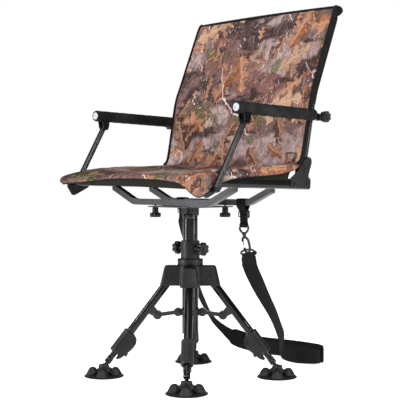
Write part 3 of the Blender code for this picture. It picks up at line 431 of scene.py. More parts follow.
def shade_round(obj):
    """Facets of a round bar shade as one surface, and its real edges stay crisp."""
    if "custom_normal" in obj.data.attributes:
        obj.data.attributes.remove(obj.data.attributes["custom_normal"])
    obj.data.shade_smooth()
    obj.modifiers.new("weld", "WELD").merge_threshold = WELD_DISTANCE
    obj.modifiers.new("split", "EDGE_SPLIT").split_angle = EDGE_ANGLE


def dress_cad():
    by_start = {start: look for look, starts in NODE_LOOKS.items() for start in starts}
    for obj in bpy.data.objects:
        if "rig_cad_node" in obj:
            start = max((key for key in by_start if obj["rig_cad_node"].startswith(key)), key=len)
            obj.data.materials.clear()
            obj.data.materials.append(LOOKS[by_start[start]])
            shade_round(obj)


dress_cad()


# ---------------------------------------------------------------- plain shapes
def steps(low, high, count):
    return [low + (high - low) * i / count for i in range(count + 1)]


def ease(value, low, high):
    share = min(1.0, max(0.0, (value - low) / (high - low)))
    return share * share * (3 - 2 * share)


def smooth_row(rows, place):
    """A point of the smooth curve through rows of numbers, at a place counted in rows."""
    i = min(int(place), len(rows) - 2)
    t = place - i
    p = [rows[min(max(i + k, 0), len(rows) - 1)] for k in (-1, 0, 1, 2)]
    return [
        0.5 * (2 * b + (c - a) * t + (2 * a - 5 * b + 4 * c - d) * t**2 + (3 * b - a - 3 * c + d) * t**3)
        for a, b, c, d in zip(*p)
    ]


def axes_along(direction):
    direction = direction.normalized()
    side = direction.cross(Z if abs(direction.z) < 0.9 else X).normalized()
    return side, direction.cross(side)


def skin(bm, rings, ends="caps"):
    """A skin over rings of points: closed by caps, by poles at single points, or onto its first ring."""
    made = [[bm.verts.new(p) for p in ring] for ring in rings]
    pairs = list(zip(made, made[1:]))
    if ends == "closed":
        pairs.append((made[-1], made[0]))
    for a, b in pairs:
        count = max(len(a), len(b))
        for i in range(count):
            j = (i + 1) % count
            if len(a) == 1:
                bm.faces.new((a[0], b[i], b[j]))
            elif len(b) == 1:
                bm.faces.new((a[i], b[0], a[j]))
            else:
                bm.faces.new((a[i], b[i], b[j], a[j]))
    if ends == "caps":
        for ring in (made[0], made[-1]):
            if len(ring) > 2:
                bm.faces.new(ring)
    return made


def ring(centre, side, up, wide, high, sides, power=2.0):
    """Points round an ellipse, or with a higher power round a box with soft corners."""
    points = []
    for i in range(sides):
        turn = 2 * math.pi * i / sides
        c, s = math.cos(turn), math.sin(turn)
        u = math.copysign(abs(c) ** (2 / power), c)
        v = math.copysign(abs(s) ** (2 / power), s)
        points.append(centre + side * (wide * u) + up * (high * v))
    return points


def lathe(bm, profile, start, direction, sides=40, lobes=None, ends="caps"):
    """A profile of (radius, height) points turned about an axis; lobes shapes the radius round the axis."""
    start, direction = Vector(start), Vector(direction).normalized()
    side, up = axes_along(direction)
    rings = []
    for radius, height in profile:
        centre = start + height * direction
        if radius == 0:
            rings.append([centre])
            continue
        points = []
        for i in range(sides):
            turn = 2 * math.pi * i / sides
            r = radius * (lobes(turn) if lobes else 1.0)
            points.append(centre + r * (math.cos(turn) * side + math.sin(turn) * up))
        rings.append(points)
    skin(bm, rings, ends)


def rounded_corner(before, corner, after, radius, count):
    """Points round a corner, from one straight run to the next."""
    a, b, c = Vector(before), Vector(corner), Vector(after)
    cut = min(radius, (b - a).length * 0.45, (c - b).length * 0.45)
    start, end = b + (a - b).normalized() * cut, b + (c - b).normalized() * cut
    return [(1 - t) ** 2 * start + 2 * t * (1 - t) * b + t**2 * end for t in steps(0, 1, count)]


def softened(path, radius, count=4):
    """An open path or a profile whose inner corners are rounded."""
    points = [path[0]]
    for corner in zip(path, path[1:], path[2:]):
        points += rounded_corner(*corner, radius, count)
    return [*points, path[-1]]


def rounded_outline(outline, radius, count=3):
    """A closed outline whose corners are all rounded."""
    points = []
    for corner in zip([outline[-1], *outline], outline, [*outline[1:], outline[0]]):
        points += rounded_corner(*corner, radius, count)
    return points


def rod(bm, start, direction, radius, low, high, soft, sides):
    """A round bar from low to high along a direction, with softened ends."""
    profile = [(0, low), (radius, low), (radius, high), (0, high)]
    lathe(bm, softened(profile, soft) if soft else profile, start, direction, sides)


def dome(ring_points, middle, inner, radius):
    """A smaller ring a little way out from the end of a pipe."""
    push = (middle - inner).normalized() * radius * 0.35
    return [middle + (p - middle) * 0.72 + push for p in ring_points]


def pipe(bm, points, radius, sides=12, closed=False, high=None, across=None):
    """A round or oval bar along points. across is the direction of radius, and high is the other radius."""
    rings, count = [], len(points)
    for i, point in enumerate(points):
        after = points[(i + 1) % count if closed else min(i + 1, count - 1)]
        along = after - points[i - 1 if closed else max(i - 1, 0)]
        side, up = axes_along(along)
        if across is not None:
            along.normalize()
            side = (across - along * across.dot(along)).normalized()
            up = along.cross(side)
        rings.append(ring(point, side, up, radius, high or radius, sides))
    if not closed:
        first = dome(rings[0], points[0], points[1], radius)
        last = dome(rings[-1], points[-1], points[-2], radius)
        rings = [first, *rings, last]
    skin(bm, rings, "closed" if closed else "caps")


def plate(bm, outline, axis, low, high, soft=0.0008):
    """An outline of 2-D points pushed along an axis, with softened edges."""
    def place(u, v, w):
        return {"x": Vector((w, u, v)), "y": Vector((u, w, v)), "z": Vector((u, v, w))}[axis]

    middle = Vector((sum(p[0] for p in outline), sum(p[1] for p in outline))) / len(outline)
    rings = []
    for w, shrink in ((low, soft), (low + soft, 0.0), (high - soft, 0.0), (high, soft)):
        moved = [Vector(point) + (middle - Vector(point)).normalized() * shrink for point in outline]
        rings.append([place(point.x, point.y, w) for point in moved])
    skin(bm, rings)


def rounded_outline(points, radius, count=3):
    """A closed outline whose corners are arcs."""
    path = []
    for i, corner in enumerate(points):
        a, b, c = Vector(points[i - 1]), Vector(corner), Vector(points[(i + 1) % len(points)])
        cut = min(radius, (b - a).length * 0.45, (c - b).length * 0.45)
        start, end = b + (a - b).normalized() * cut, b + (c - b).normalized() * cut
        for share in steps(0, 1, count):
            path.append(tuple((1 - share) ** 2 * start + 2 * share * (1 - share) * b + share**2 * end))
    return path


def piece(name, bm, looks, body=None, replaces=(), flat_angle=40, cloth=None):
    """A finished object from mesh code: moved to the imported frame, shaded, painted, and riding on its body."""
    bmesh.ops.recalc_face_normals(bm, faces=bm.faces)
    mesh = bpy.data.meshes.new(name)
    bm.to_mesh(mesh)
    bm.free()
    mesh.transform(Matrix.Translation((0, POLE_Y, 0)))
    looks = [looks] if isinstance(looks, str) else looks
    for look in looks:
        mesh.materials.append(LOOKS[look])
    mesh.shade_smooth()
    if flat_angle < 180:
        mesh.set_sharp_from_angle(angle=math.radians(flat_angle))
    layer = mesh.attributes.new("fabric", "FLOAT_VECTOR", "POINT")
    cloth = cloth or [(v.co.x + v.co.y, v.co.z + 0.5 * v.co.y, 0.0) for v in mesh.vertices]
    for item, value in zip(layer.data, cloth):
        item.vector = value
    obj = bpy.data.objects.new(name, mesh)
    bpy.context.scene.collection.objects.link(obj)
    if body:
        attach(obj, body)
    if replaces:
        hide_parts(*replaces)
    return obj


# ---------------------------------------------------------------- sling
# Stations from the seat's front lip to the top of the back: y and z in the middle of the sling, y and z at
# its sides, its half width there, and its thickness.
SLING = (
    (-0.2085, 0.5265, -0.2090, 0.5040, 0.2470, 0.0030),
    (-0.2120, 0.5285, -0.2130, 0.5090, 0.2540, 0.0045),
    (-0.2120, 0.5330, -0.2140, 0.5190, 0.2580, 0.0070),
    (-0.2050, 0.5385, -0.2070, 0.5330, 0.2600, 0.0110),
    (-0.1850, 0.5430, -0.1850, 0.5455, 0.2620, 0.0150),
    (-0.1500, 0.5465, -0.1500, 0.5530, 0.2625, 0.0170),
    (-0.1000, 0.5485, -0.1000, 0.5575, 0.2630, 0.0180),
    (-0.0400, 0.5500, -0.0400, 0.5625, 0.2630, 0.0170),
    (0.0300, 0.5505, 0.0300, 0.5650, 0.2625, 0.0150),
    (0.0850, 0.5520, 0.0850, 0.5655, 0.2615, 0.0115),
    (0.1200, 0.5560, 0.1180, 0.5660, 0.2600, 0.0090),
    (0.1420, 0.5640, 0.1370, 0.5690, 0.2595, 0.0085),
    (0.1560, 0.5800, 0.1480, 0.5800, 0.2595, 0.0085),
    (0.1650, 0.6080, 0.1550, 0.6060, 0.2600, 0.0090),
    (0.1740, 0.6450, 0.1625, 0.6450, 0.2610, 0.0105),
    (0.1820, 0.6850, 0.1700, 0.6850, 0.2620, 0.0120),
    (0.1900, 0.7250, 0.1770, 0.7250, 0.2625, 0.0125),
    (0.1990, 0.7620, 0.1865, 0.7620, 0.2625, 0.0125),
    (0.2140, 0.8000, 0.2025, 0.8000, 0.2620, 0.0125),
    (0.2370, 0.8570, 0.2260, 0.8570, 0.2615, 0.0125),
    (0.2590, 0.9150, 0.2500, 0.9150, 0.2610, 0.0125),
    (0.2720, 0.9550, 0.2665, 0.9550, 0.2610, 0.0125),
    (0.2775, 0.9710, 0.2740, 0.9710, 0.2605, 0.0110),
    (0.2850, 0.9830, 0.2830, 0.9820, 0.2600, 0.0070),
    (0.2910, 0.9850, 0.2900, 0.9840, 0.2590, 0.0030),
)
SLING_ROWS, SLING_COLUMNS, SLING_FINE = 132, 84, 900
ROLL = 0.06  # share of the half width over which a side rolls under
CORNER_SHIFT, CORNER_FALL = Vector((-0.010, -0.017, -0.0035)), 0.50  # of the thin right front corner


def sling_frames():
    """Even steps along the sling, each with the ones before and after it.

    A step is a station's numbers, and how far along the middle it lies."""
    fine = [smooth_row(SLING, place) for place in steps(0, len(SLING) - 1, SLING_FINE)]
    travelled = [0.0]
    for a, b in zip(fine, fine[1:]):
        travelled.append(travelled[-1] + math.hypot(b[0] - a[0], b[1] - a[1]))
    rows, j = [], 0
    for goal in steps(0, travelled[-1], SLING_ROWS):
        while j < SLING_FINE - 1 and travelled[j + 1] < goal:
            j += 1
        share = min(1.0, (goal - travelled[j]) / max(1e-9, travelled[j + 1] - travelled[j]))
        rows.append([a + (b - a) * share for a, b in zip(fine[j], fine[j + 1])] + [goal])
    return list(zip(rows, [rows[0], *rows], [*rows[1:], rows[-1]]))


def wander(x, y, z):
    return noise.noise(Vector((x, y, z)))


def creases(x, run):
    """Small folds: gathers that rise from the crook of the seat, and slack waves across it."""
    crook = math.exp(-((run - 0.405) / 0.055) ** 2)
    gathers = 0.0022 * crook * math.sin(x * 92 + 5 * wander(x * 7, run * 9, 1.0))
    fold = 0.0030 * math.exp(-((run - 0.372) / 0.012) ** 2) * (0.6 + 0.4 * math.sin(x * 21 + 1.0))
    slack = 0.0030 * wander(x * 9, run * 13, 4.0) + 0.0012 * wander(x * 31, run * 27, 9.0)
    return gathers - fold + slack


def sling_point(row, before, after, u, under):
    """A point of the sling at a share u of its half width, on its upper face or its under one.

    Its right front corner is thin, and stands forward."""
    mid_y, mid_z, side_y, side_z, half, thick, run = row
    out = min(1.0, abs(u)) ** 2.4
    flat = ease(-u, 0.45, 0.95) * ease(-mid_y, 0.150, 0.205)
    y, z = mid_y + (side_y - mid_y) * out, mid_z + (side_z - mid_z) * out * (1 - CORNER_FALL * flat)
    thick *= 1 - 0.80 * flat
    ahead = Vector((
        after[0] - before[0] + (after[2] - after[0] - before[2] + before[0]) * out,
        after[1] - before[1] + (after[3] - after[1] - before[3] + before[1]) * out,
    )).normalized()
    up = Vector((-ahead.y, ahead.x))  # away from the sitter's side is minus this
    over = max(0.0, (abs(u) - (1 - ROLL)) / ROLL)
    dip = thick / 2 * (1 - math.sqrt(max(0.0, 1 - over * over)))
    calm = ease(run, 0.0, 0.03) * ease(0.855 - run, 0.0, 0.05) * (1 - over)
    lift = creases(u * half, run) * calm
    shift = 0.5 * lift - (thick - dip) if under else lift - dip
    point = Vector((u * half, y + up.x * shift, z + up.y * shift))
    return point + CORNER_SHIFT * flat


def sling_columns():
    """Shares of the half width, closer together where the sides roll under."""
    inner = steps(-(1 - ROLL), 1 - ROLL, SLING_COLUMNS)
    roll = [1 - ROLL * (1 - math.sin(math.radians(a))) for a in (22, 45, 68, 90)]
    return [-r for r in roll[::-1]] + inner + roll


def make_sling():
    columns = sling_columns()
    bm = bmesh.new()
    cloth, rings = [], []
    for row, before, after in sling_frames():
        points = []
        for shares, under in ((columns, False), (columns[-2:0:-1], True)):
            points += [sling_point(row, before, after, u, under) for u in shares]
            cloth += [(u * row[4], row[6] + 2.0 * under, 0.0) for u in shares]
        rings.append(points)
    skin(bm, rings)
    count, per_row = len(columns), len(rings[0])
    bm.verts.index_update()
    for face in bm.faces:
        under = any(count + 4 <= v.index % per_row < per_row - 4 for v in face.verts)
        face.material_index = 1 if under or len(face.verts) > 4 else 0
    return bm, cloth


def along_side(side, share, low):
    """Points along one edge of the back, from a height up: share of its thickness in from its face."""
    points = []
    for row, before, after in sling_frames():
        if row[3] >= low and row[6] >= 0.3:
            face, back = (sling_point(row, before, after, side, under) for under in (False, True))
            points.append(face.lerp(back, share))
    return points


def thin_sheet(bm, rows, normals, thick):
    """A closed sheet: rows of points on its face, and the same ones set back along each point's normal."""
    rings = []
    for row, normal in zip(rows, normals):
        back = [p - n * thick for p, n in zip(row, normal)]
        rings.append([*row, *back[::-1]])
    skin(bm, rings)


# The camo hangs over the seat's sides, and as a point at its left front corner: x, y, top and bottom of the
# cloth.
SKIRT = (
    (0.1930, -0.2122, 0.5215, 0.5165), (0.2100, -0.2128, 0.5225, 0.5085), (0.2300, -0.2136, 0.5235, 0.4960),
    (0.2480, -0.2136, 0.5250, 0.4875), (0.2590, -0.2105, 0.5270, 0.4855), (0.2640, -0.2030, 0.5310, 0.4885),
    (0.2652, -0.1900, 0.5380, 0.4960), (0.2654, -0.1740, 0.5440, 0.5060), (0.2654, -0.1500, 0.5480, 0.5165),
    (0.2652, -0.1250, 0.5500, 0.5225), (0.2650, -0.1000, 0.5510, 0.5280), (0.2650, -0.0750, 0.5530, 0.5308),
    (0.2650, -0.0500, 0.5550, 0.5322), (0.2650, -0.0200, 0.5565, 0.5335), (0.2648, 0.0100, 0.5575, 0.5352),
    (0.2645, 0.0400, 0.5585, 0.5375), (0.2640, 0.0700, 0.5590, 0.5408), (0.2632, 0.0950, 0.5600, 0.5450),
    (0.2622, 0.1150, 0.5615, 0.5495), (0.2614, 0.1300, 0.5635, 0.5540), (0.2606, 0.1400, 0.5665, 0.5600),
)


def build_skirt(name, side, first):
    places = [smooth_row(SKIRT, place) for place in steps(first, len(SKIRT) - 1, 110)]
    rows, normals, cloth, edge = [], [], [], []
    run = 0.0
    for i, (x, y, top, bottom) in enumerate(places):
        before, after = places[max(i - 1, 0)], places[min(i + 1, len(places) - 1)]
        run += math.hypot(x - before[0], y - before[1])
        out = Vector((after[1] - before[1], before[0] - after[0], 0)).normalized()
        out.x *= side
        row, normal = [], []
        for share in steps(0, 1, 10):
            z = top + (bottom - top) * share
            belly = 0.0016 * math.sin(math.pi * share) + 0.0014 * wander(run * 30, share * 3, side)
            tuck = -0.0022 * (1 - share) ** 2
            row.append(Vector((side * x, y, z)) + out * (belly + tuck))
            normal.append(out)
        rows.append(row)
        normals.append(normal)
        edge.append(row[-1] - out * 0.0011)
        cloth += [(side * (0.20 + run), 0.03 - (0.54 - p.z), 0.0) for p in [*row, *row[::-1]]]
    bm = bmesh.new()
    thin_sheet(bm, rows, normals, 0.0022)
    flap = piece(f"side_flap_{name}", bm, "camo_fabric", "seat", flat_angle=60, cloth=cloth)
    bm = bmesh.new()
    pipe(bm, edge, 0.0017, 8)
    trim = piece(f"side_flap_piping_{name}", bm, "black_binding", "seat", flat_angle=180)


def rail_top(y):
    return 0.5352 - (y + 0.125) * 0.0271


def build_side_band(name, side):
    """The dark cloth between the sling's lower edge and the rail, cut away at its rear."""
    rows, normals = [], []
    for share in steps(0, 1, 40):
        top_y, low_y = -0.150 + 0.259 * share, -0.150 + 0.242 * share
        top_z = 0.5345 + 0.0195 * ease(top_y, -0.13, 0.10)
        row = []
        for part in steps(0, 1, 8):
            y, z = top_y + (low_y - top_y) * part, top_z + (rail_top(low_y) - 0.0065 - top_z) * part
            tuck = 0.0035 * math.sin(math.pi * part) * ease(share, 0.1, 0.4)
            out = 0.2622 - tuck + 0.0012 * wander(y * 40, part * 2, side)
            row.append(Vector((side * out, y, z)))
        rows.append(row)
        normals.append([Vector((side, 0, 0))] * len(row))
    bm = bmesh.new()
    thin_sheet(bm, rows, normals, 0.0018)
    sleeve = piece(f"rail_sleeve_{name}", bm, "olive_lining", "seat", flat_angle=60)
    bm = bmesh.new()
    pipe(bm, [p - X * side * 0.0009 for p in rows[-1]], 0.0024, 8)
    piece(f"rail_sleeve_piping_{name}", bm, "black_binding", "seat", flat_angle=180)


def build_front_hem():
    """The dark lining that hangs below the seat's front edge, and stops short of the corners."""
    rows, normals = [], []
    for x in steps(-0.232, 0.2015, 72):
        top = 0.5290 - 0.0130 * (abs(x) / 0.2015) ** 2.6
        low = 0.5095 - 0.0055 * max(0.0, x / 0.2) + 0.0035 * max(0.0, -x / 0.2)
        wave = 0.0010 * math.sin(x * 61) + 0.0008 * math.sin(x * 143 + 1)
        parts = steps(0, 1, 6)
        rows.append([Vector((x, -0.2088 + (0.004 + wave) * part, top + (low - top) * part)) for part in parts])
        normals.append([-Y] * len(parts))
    bm = bmesh.new()
    thin_sheet(bm, rows, normals, 0.0030)
    hem = piece("front_hem", bm, "olive_lining", "seat", flat_angle=60)
    bm = bmesh.new()
    lip = []
    for x in steps(-0.246, 0.200, 70):
        flat = ease(-x, 0.118, 0.249)
        fall = 0.0235 * (abs(x) / 0.2560) ** 2.4 * (1 - CORNER_FALL * flat)
        lip.append(Vector((x, -0.2106, 0.5278 - fall)) + CORNER_SHIFT * flat)
    pipe(bm, lip, 0.0017, 8)
    piece("front_piping", bm, "black_binding", "seat", flat_angle=180)


def build_bindings():
    for name, side in SIDES:
        bm = bmesh.new()
        pipe(bm, along_side(side, 0.55, 0.568), 0.0038, 12, high=0.0080, across=X)
        piece(f"back_binding_{name}", bm, "black_binding", "back", flat_angle=180)
    bm = bmesh.new()
    last_y, last_z = SLING[-1][:2]
    top, half = [], 0.26
    for x in steps(-half, half, 60):
        bow = 0.0030 * (1 - (x / half) ** 2)
        top.append(Vector((x, last_y - 0.002, last_z - 0.0035 + bow)))
    pipe(bm, top, 0.0056, 12, high=0.0076, across=Z)
    piece("top_binding", bm, "black_binding", "back", flat_angle=180)


def upright_y(z):
    low = BACK_PIVOT.y + (min(z, BEND_Z) - BACK_PIVOT.z) * LEAN_LOW
    return low + max(0.0, z - BEND_Z) * LEAN_HIGH


def build_back_tube():
    """The back's bent tube, and the black sleeve that its upper part wears."""
    top_z, bend, sleeve_low = 0.973, 0.026, 0.704
    corners = []
    for side in (1, -1):
        half = [Vector((side * RAIL_X, upright_y(z), z)) for z in (BACK_PIVOT.z - 0.006, BEND_Z, top_z)]
        corners += half[::side]
    bm = bmesh.new()
    path = softened(corners, bend, 6)
    pipe(bm, path, 0.0100, 28)
    for side in (1, -1):
        rod(bm, BACK_PIVOT + side * RAIL_X * X, X, 0.0100, -0.0095, 0.0095, 0.001, 28)
    piece("back_tube", bm, "gloss_black_tube", "back", ["back_frame"])
    bm = bmesh.new()
    pipe(bm, [p for p in path if p.z > sleeve_low], 0.0111, 24)
    piece("back_sleeve", bm, "black_binding", "back", flat_angle=180)
    for name, side in SIDES:
        bm = bmesh.new()
        profile = [(0, -0.0130), (0.0060, -0.0124), (0.0105, -0.0095), (0.0126, -0.0030), (0.0126, 0.0030),
                   (0.0105, 0.0095), (0.0060, 0.0124), (0, 0.0130)]
        lathe(bm, profile, (side * 0.2570, upright_y(0.974) - 0.002, 0.9740), Vector((side, 0.2, 0.75)), 24)
        piece(f"sleeve_corner_{name}", bm, "black_binding", "back", flat_angle=180)


def build_sling():
    bm, cloth = make_sling()
    sling = piece("camo_sling", bm, ["camo_fabric", "olive_lining"], replaces=("seat_pad", "back_pad"),
                  flat_angle=180, cloth=cloth)
    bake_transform(sling)


def hex_bolt(bm, y, z, x, side, radius, high):
    """A hex head on a washer, standing out from a face at x."""
    start = (side * x, y, z)
    rod(bm, start, side * X, radius * 1.35, 0, 0.0009, 0.0003, 24)
    head = [(0, 0.0006), (radius, 0.0006), (radius, high * 0.8), (radius * 0.86, high), (0, high)]
    lathe(bm, head, start, side * X, 6)


def build_hinge(name, side):
    """The back's hinge: an outer gusset with a waist and a rounded toe, a narrower inner one, and bolts."""
    outer = [(0.1080, 0.5070), (0.1700, 0.5024), (0.1740, 0.4992), (0.1825, 0.5030), (0.1842, 0.5240),
             (0.1800, 0.5290), (0.1752, 0.5320), (0.1775, 0.5420), (0.1820, 0.5540), (0.1882, 0.5700),
             (0.1872, 0.5790), (0.1800, 0.5842), (0.1700, 0.5840), (0.1610, 0.5770), (0.1540, 0.5660),
             (0.1462, 0.5590), (0.1395, 0.5530), (0.1300, 0.5455), (0.1150, 0.5350), (0.1060, 0.5290)]
    inner = [(0.1500, 0.5060), (0.1835, 0.5030), (0.1875, 0.5080), (0.1880, 0.5660), (0.1800, 0.5740),
             (0.1620, 0.5740), (0.1540, 0.5660), (0.1520, 0.5350)]
    bm = bmesh.new()
    for outline, face in ((outer, 0.2593), (inner, 0.2342)):
        low, high = sorted((side * face, side * (face + 0.0026)))
        plate(bm, rounded_outline(outline, 0.003), "x", low, high, 0.0007)
    bolts = (BACK_PIVOT.y, BACK_PIVOT.z, 0.0066), (0.1230, 0.5135, 0.0048), (0.1700, 0.5125, 0.0048)
    for y, z, radius in bolts:
        hex_bolt(bm, y, z, 0.2616, side, radius, 0.0042)
    rod(bm, BACK_PIVOT + side * 0.2302 * X, side * X, 0.0040, 0, 0.0320, 0.0006, 20)
    rod(bm, (side * 0.2320, 0.1826, 0.5645), side * X, 0.0026, 0, 0.0300, 0, 16)
    piece(f"hinge_gussets_{name}", bm, "black_steel", "seat", [f"hinge_bracket_{name}"], flat_angle=35)


build_sling()
build_bindings()
for side_name, side_sign in SIDES:
    build_hinge(side_name, side_sign)
build_back_tube()
build_front_hem()
build_skirt("left", 1, 0)
build_skirt("right", -1, 8)
for side_name, side_sign in SIDES:
    build_side_band(side_name, side_sign)


# ---------------------------------------------------------------- armrests
def arm_point(side, y):
    """A point of an armrest's axis, which rises a little to the front."""
    return Vector((side * ARM_X, y, 0.6926 + (GRIP_REAR + 0.004 - y) * 0.0297))


def build_grip(name, side):
    front, rear = arm_point(side, GRIP_FRONT), arm_point(side, GRIP_REAR)
    long = (rear - front).length
    radius = 0.0149
    end = [(0.0102, 0.0008), (0.0125, 0.0002), (0.0140, 0.0012), (radius, 0.0036)]
    foam = []
    for share in steps(0.02, 0.98, 40):
        swell = 0.00025 * math.sin(share * 57) + 0.0002 * math.sin(share * 131)
        foam.append((radius + swell, share * long))
    profile = [*end, *foam, *((r, long - h) for r, h in end[::-1])]
    bm = bmesh.new()
    lathe(bm, profile, front, rear - front, 40)
    piece(f"foam_grip_{name}", bm, "black_foam", f"arm_{name}", [f"arm_grip_{name}"], flat_angle=180)
    bm = bmesh.new()
    cap = [(0, -0.0002), (0.0022, -0.0003), (0.0028, -0.0009), (0.0040, -0.0012), (0.0088, -0.0010),
           (0.0099, -0.0002), (0.0102, 0.0010), (0.0100, 0.0040), (0, 0.0040)]
    lathe(bm, cap, front, rear - front, 36)
    piece(f"end_cap_{name}", bm, "end_cap", f"arm_{name}", flat_angle=50)


def scallop(turn):
    """A star knob's radius round its axis, as a share of the largest."""
    return 1.0 - 0.21 * (0.5 - 0.5 * math.cos(KNOB_LOBES * turn)) ** 1.6


def build_knob(name, centre, direction, radius, thick, boss, boss_long, stud_long):
    """A star knob from centre outwards: scalloped grip, hollowed face, tapered boss and steel stud."""
    centre = Vector(centre)
    grip = [(0, -0.0006), (boss * 1.05, -0.0006), (radius * 0.80, -0.0002), (radius * 0.93, 0.0008),
            (radius, 0.0026), (radius, thick - 0.0030), (radius * 0.95, thick - 0.0010),
            (radius * 0.84, thick), (radius * 0.60, thick - 0.0003), (radius * 0.50, thick - 0.0016),
            (radius * 0.40, thick - 0.0018), (0, thick - 0.0018)]
    bm = bmesh.new()
    lathe(bm, grip, centre, direction, 96, scallop)
    neck = [(0, -boss_long), (boss * 0.86, -boss_long), (boss * 0.92, 0.0008 - boss_long), (boss, 0),
            (0, 0.0010)]
    lathe(bm, neck, centre, direction, 32)
    nut = STUD_RADIUS * 1.5
    tip = [(0, thick - 0.0022), (nut, thick - 0.0022), (nut, thick - 0.0006), (nut * 0.8, thick), (0, thick)]
    lathe(bm, tip, centre, direction, 6)
    piece(f"star_{name}", bm, "black_plastic", name, [name], flat_angle=45)
    bm = bmesh.new()
    shank = [(0, -stud_long), (STUD_RADIUS * 0.8, -stud_long)]
    for i in range(int((stud_long - boss_long) / THREAD_PITCH)):
        low = i * THREAD_PITCH - stud_long
        shank += [(STUD_RADIUS, low + 0.0004), (STUD_RADIUS * 0.88, low + 0.00085)]
    shank += [(STUD_RADIUS * 0.9, 0.001 - boss_long), (0, 0.001 - boss_long)]
    lathe(bm, shank, centre, direction, 20)
    piece(f"stud_{name}", bm, "zinc_pin", name, flat_angle=30)


def build_knobs():
    for name, side in SIDES:
        build_knob(f"collar_knob_{name}", (side * 0.0390, 0, COLLAR_KNOB_Z), side * X,
                   0.0178, 0.0170, 0.0080, 0.0045, 0.0180)
        build_knob(f"arm_knob_{name}", ARM_REAR + side * (ARM_X + 0.0175) * X, side * X,
                   0.0147, 0.0180, 0.0065, 0.0130, 0.0290)
        for place, y in (("front", -0.067), ("rear", 0.067)):
            build_knob(f"plate_knob_{place}_{name}", (side * 0.064, y, 0.4374), -Z,
                       0.0150, 0.0115, 0.0085, 0.0150, 0.0230)


def build_strut(name, side):
    """The bar under an armrest, with an eye at each end and a bolt at its lower one."""
    radius, half = 0.0075, 0.0073
    low, high = Vector((side * ARM_X, *STRUT_LOW)), Vector((side * ARM_X, *STRUT_HIGH))
    bm = bmesh.new()
    rod(bm, low, high - low, radius, 0, (high - low).length, 0.001, 48)
    for end in (low, high):
        rod(bm, end, X, radius, -half, half, 0.0009, 32)
    piece(f"strut_bar_{name}", bm, "gloss_black_tube", f"strut_{name}", [f"strut_{name}"], flat_angle=35)
    bm = bmesh.new()
    hex_bolt(bm, low.y, low.z, ARM_X + half, side, 0.0052, 0.0040)
    piece(f"strut_bolt_{name}", bm, "black_steel", f"strut_{name}", flat_angle=35)


for side_name, side_sign in SIDES:
    build_grip(side_name, side_sign)
    build_strut(side_name, side_sign)
build_knobs()


# ---------------------------------------------------------------- legs
def on_leg(along, inward=0.0, across=0.0):
    """A point of a leg that stands along +X: along it from its pivot, in from its axis, and across it."""
    s, c = math.sin(LEG_TILT), math.cos(LEG_TILT)
    return LEG_PIVOT + Vector((along * s - inward * c, across, -along * c - inward * s))


def turn_to_leg(bm, azimuth):
    bmesh.ops.transform(bm, matrix=Matrix.Rotation(math.radians(azimuth), 4, "Z"), verts=bm.verts)


def leg_outline(points):
    """Points of (along, inward) on a leg, as an outline for a plate that lies across Y."""
    return [(p.x, p.z) for p in (on_leg(along, inward) for along, inward in points)]


def leg_lathe(bm, profile, sides, ends="caps"):
    """A profile of (radius, distance from the pivot) turned about the leg's axis."""
    lathe(bm, profile, on_leg(0), on_leg(1) - on_leg(0), sides, ends=ends)


def leg_plates(bm, outline, low, high, soft):
    """Two equal plates, one on each side of the leg."""
    for near, far in ((-high, -low), (low, high)):
        plate(bm, rounded_outline(leg_outline(outline), 0.003), "y", near, far, soft)


def barrel_shape(bm):
    """The upper leg: a round tube, the eye of its pivot, and the two lugs that hold its brace arm."""
    radius, end, eye = 0.0110, 0.2055, 0.0104
    rod(bm, on_leg(0), on_leg(1) - on_leg(0), radius, 0, end, 0.0008, 48)
    rod(bm, on_leg(0), Y, radius, -eye, eye, 0.0008, 36)
    lug = [(FORK_AT - 0.0125, 0.0050), (FORK_AT + 0.0125, 0.0050), (FORK_AT + 0.0070, FORK_IN),
           (FORK_AT - 0.0070, FORK_IN)]
    leg_plates(bm, lug, 0.0066, 0.0096, 0.0007)


def clamp_shape(bm):
    """The clamp's ribbed sleeve, its collars, and the cheeks that hold the lever."""
    profile = [(0.0114, 0.1832), (0.0156, 0.1830), (0.0168, 0.1842), (0.0168, 0.1880), (0.0160, 0.1890)]
    for i in range(CLAMP_RIBS):
        low = 0.1900 + i * RIB_PITCH
        profile += [(0.0158, low), (0.0165, low + 0.0007), (0.0165, low + 0.0023), (0.0158, low + 0.0030)]
    profile += [(0.0160, 0.2445), (0.0168, 0.2455), (0.0168, 0.2492), (0.0158, 0.2508), (0.0098, 0.2508)]
    leg_lathe(bm, profile, 36, "closed")
    cheek = [(0.1860, 0.0105), (0.1860, 0.0205), (0.1930, 0.0285), (0.2060, 0.0290), (0.2400, 0.0262),
             (0.2540, 0.0225), (0.2625, 0.0160), (0.2625, 0.0112), (0.2500, 0.0105)]
    leg_plates(bm, cheek, 0.0066, 0.0105, 0.0010)
    floor_of_slot = [(0.1850, 0.0105), (0.1850, 0.0172), (0.2480, 0.0172), (0.2620, 0.0150), (0.2625, 0.0112),
                     (0.2500, 0.0105)]
    plate(bm, rounded_outline(leg_outline(floor_of_slot), 0.002), "y", -0.0070, 0.0070, 0.0004)
    for side in (-1, 1):
        ear = on_leg(LEVER_AT, 0.0235, side * 0.0085)
        rod(bm, ear, Y, 0.0062, -0.0020, 0.0020, 0.0009, 24)
        rod(bm, ear, side * Y, 0.0026, 0, 0.0028, 0.0006, 16)


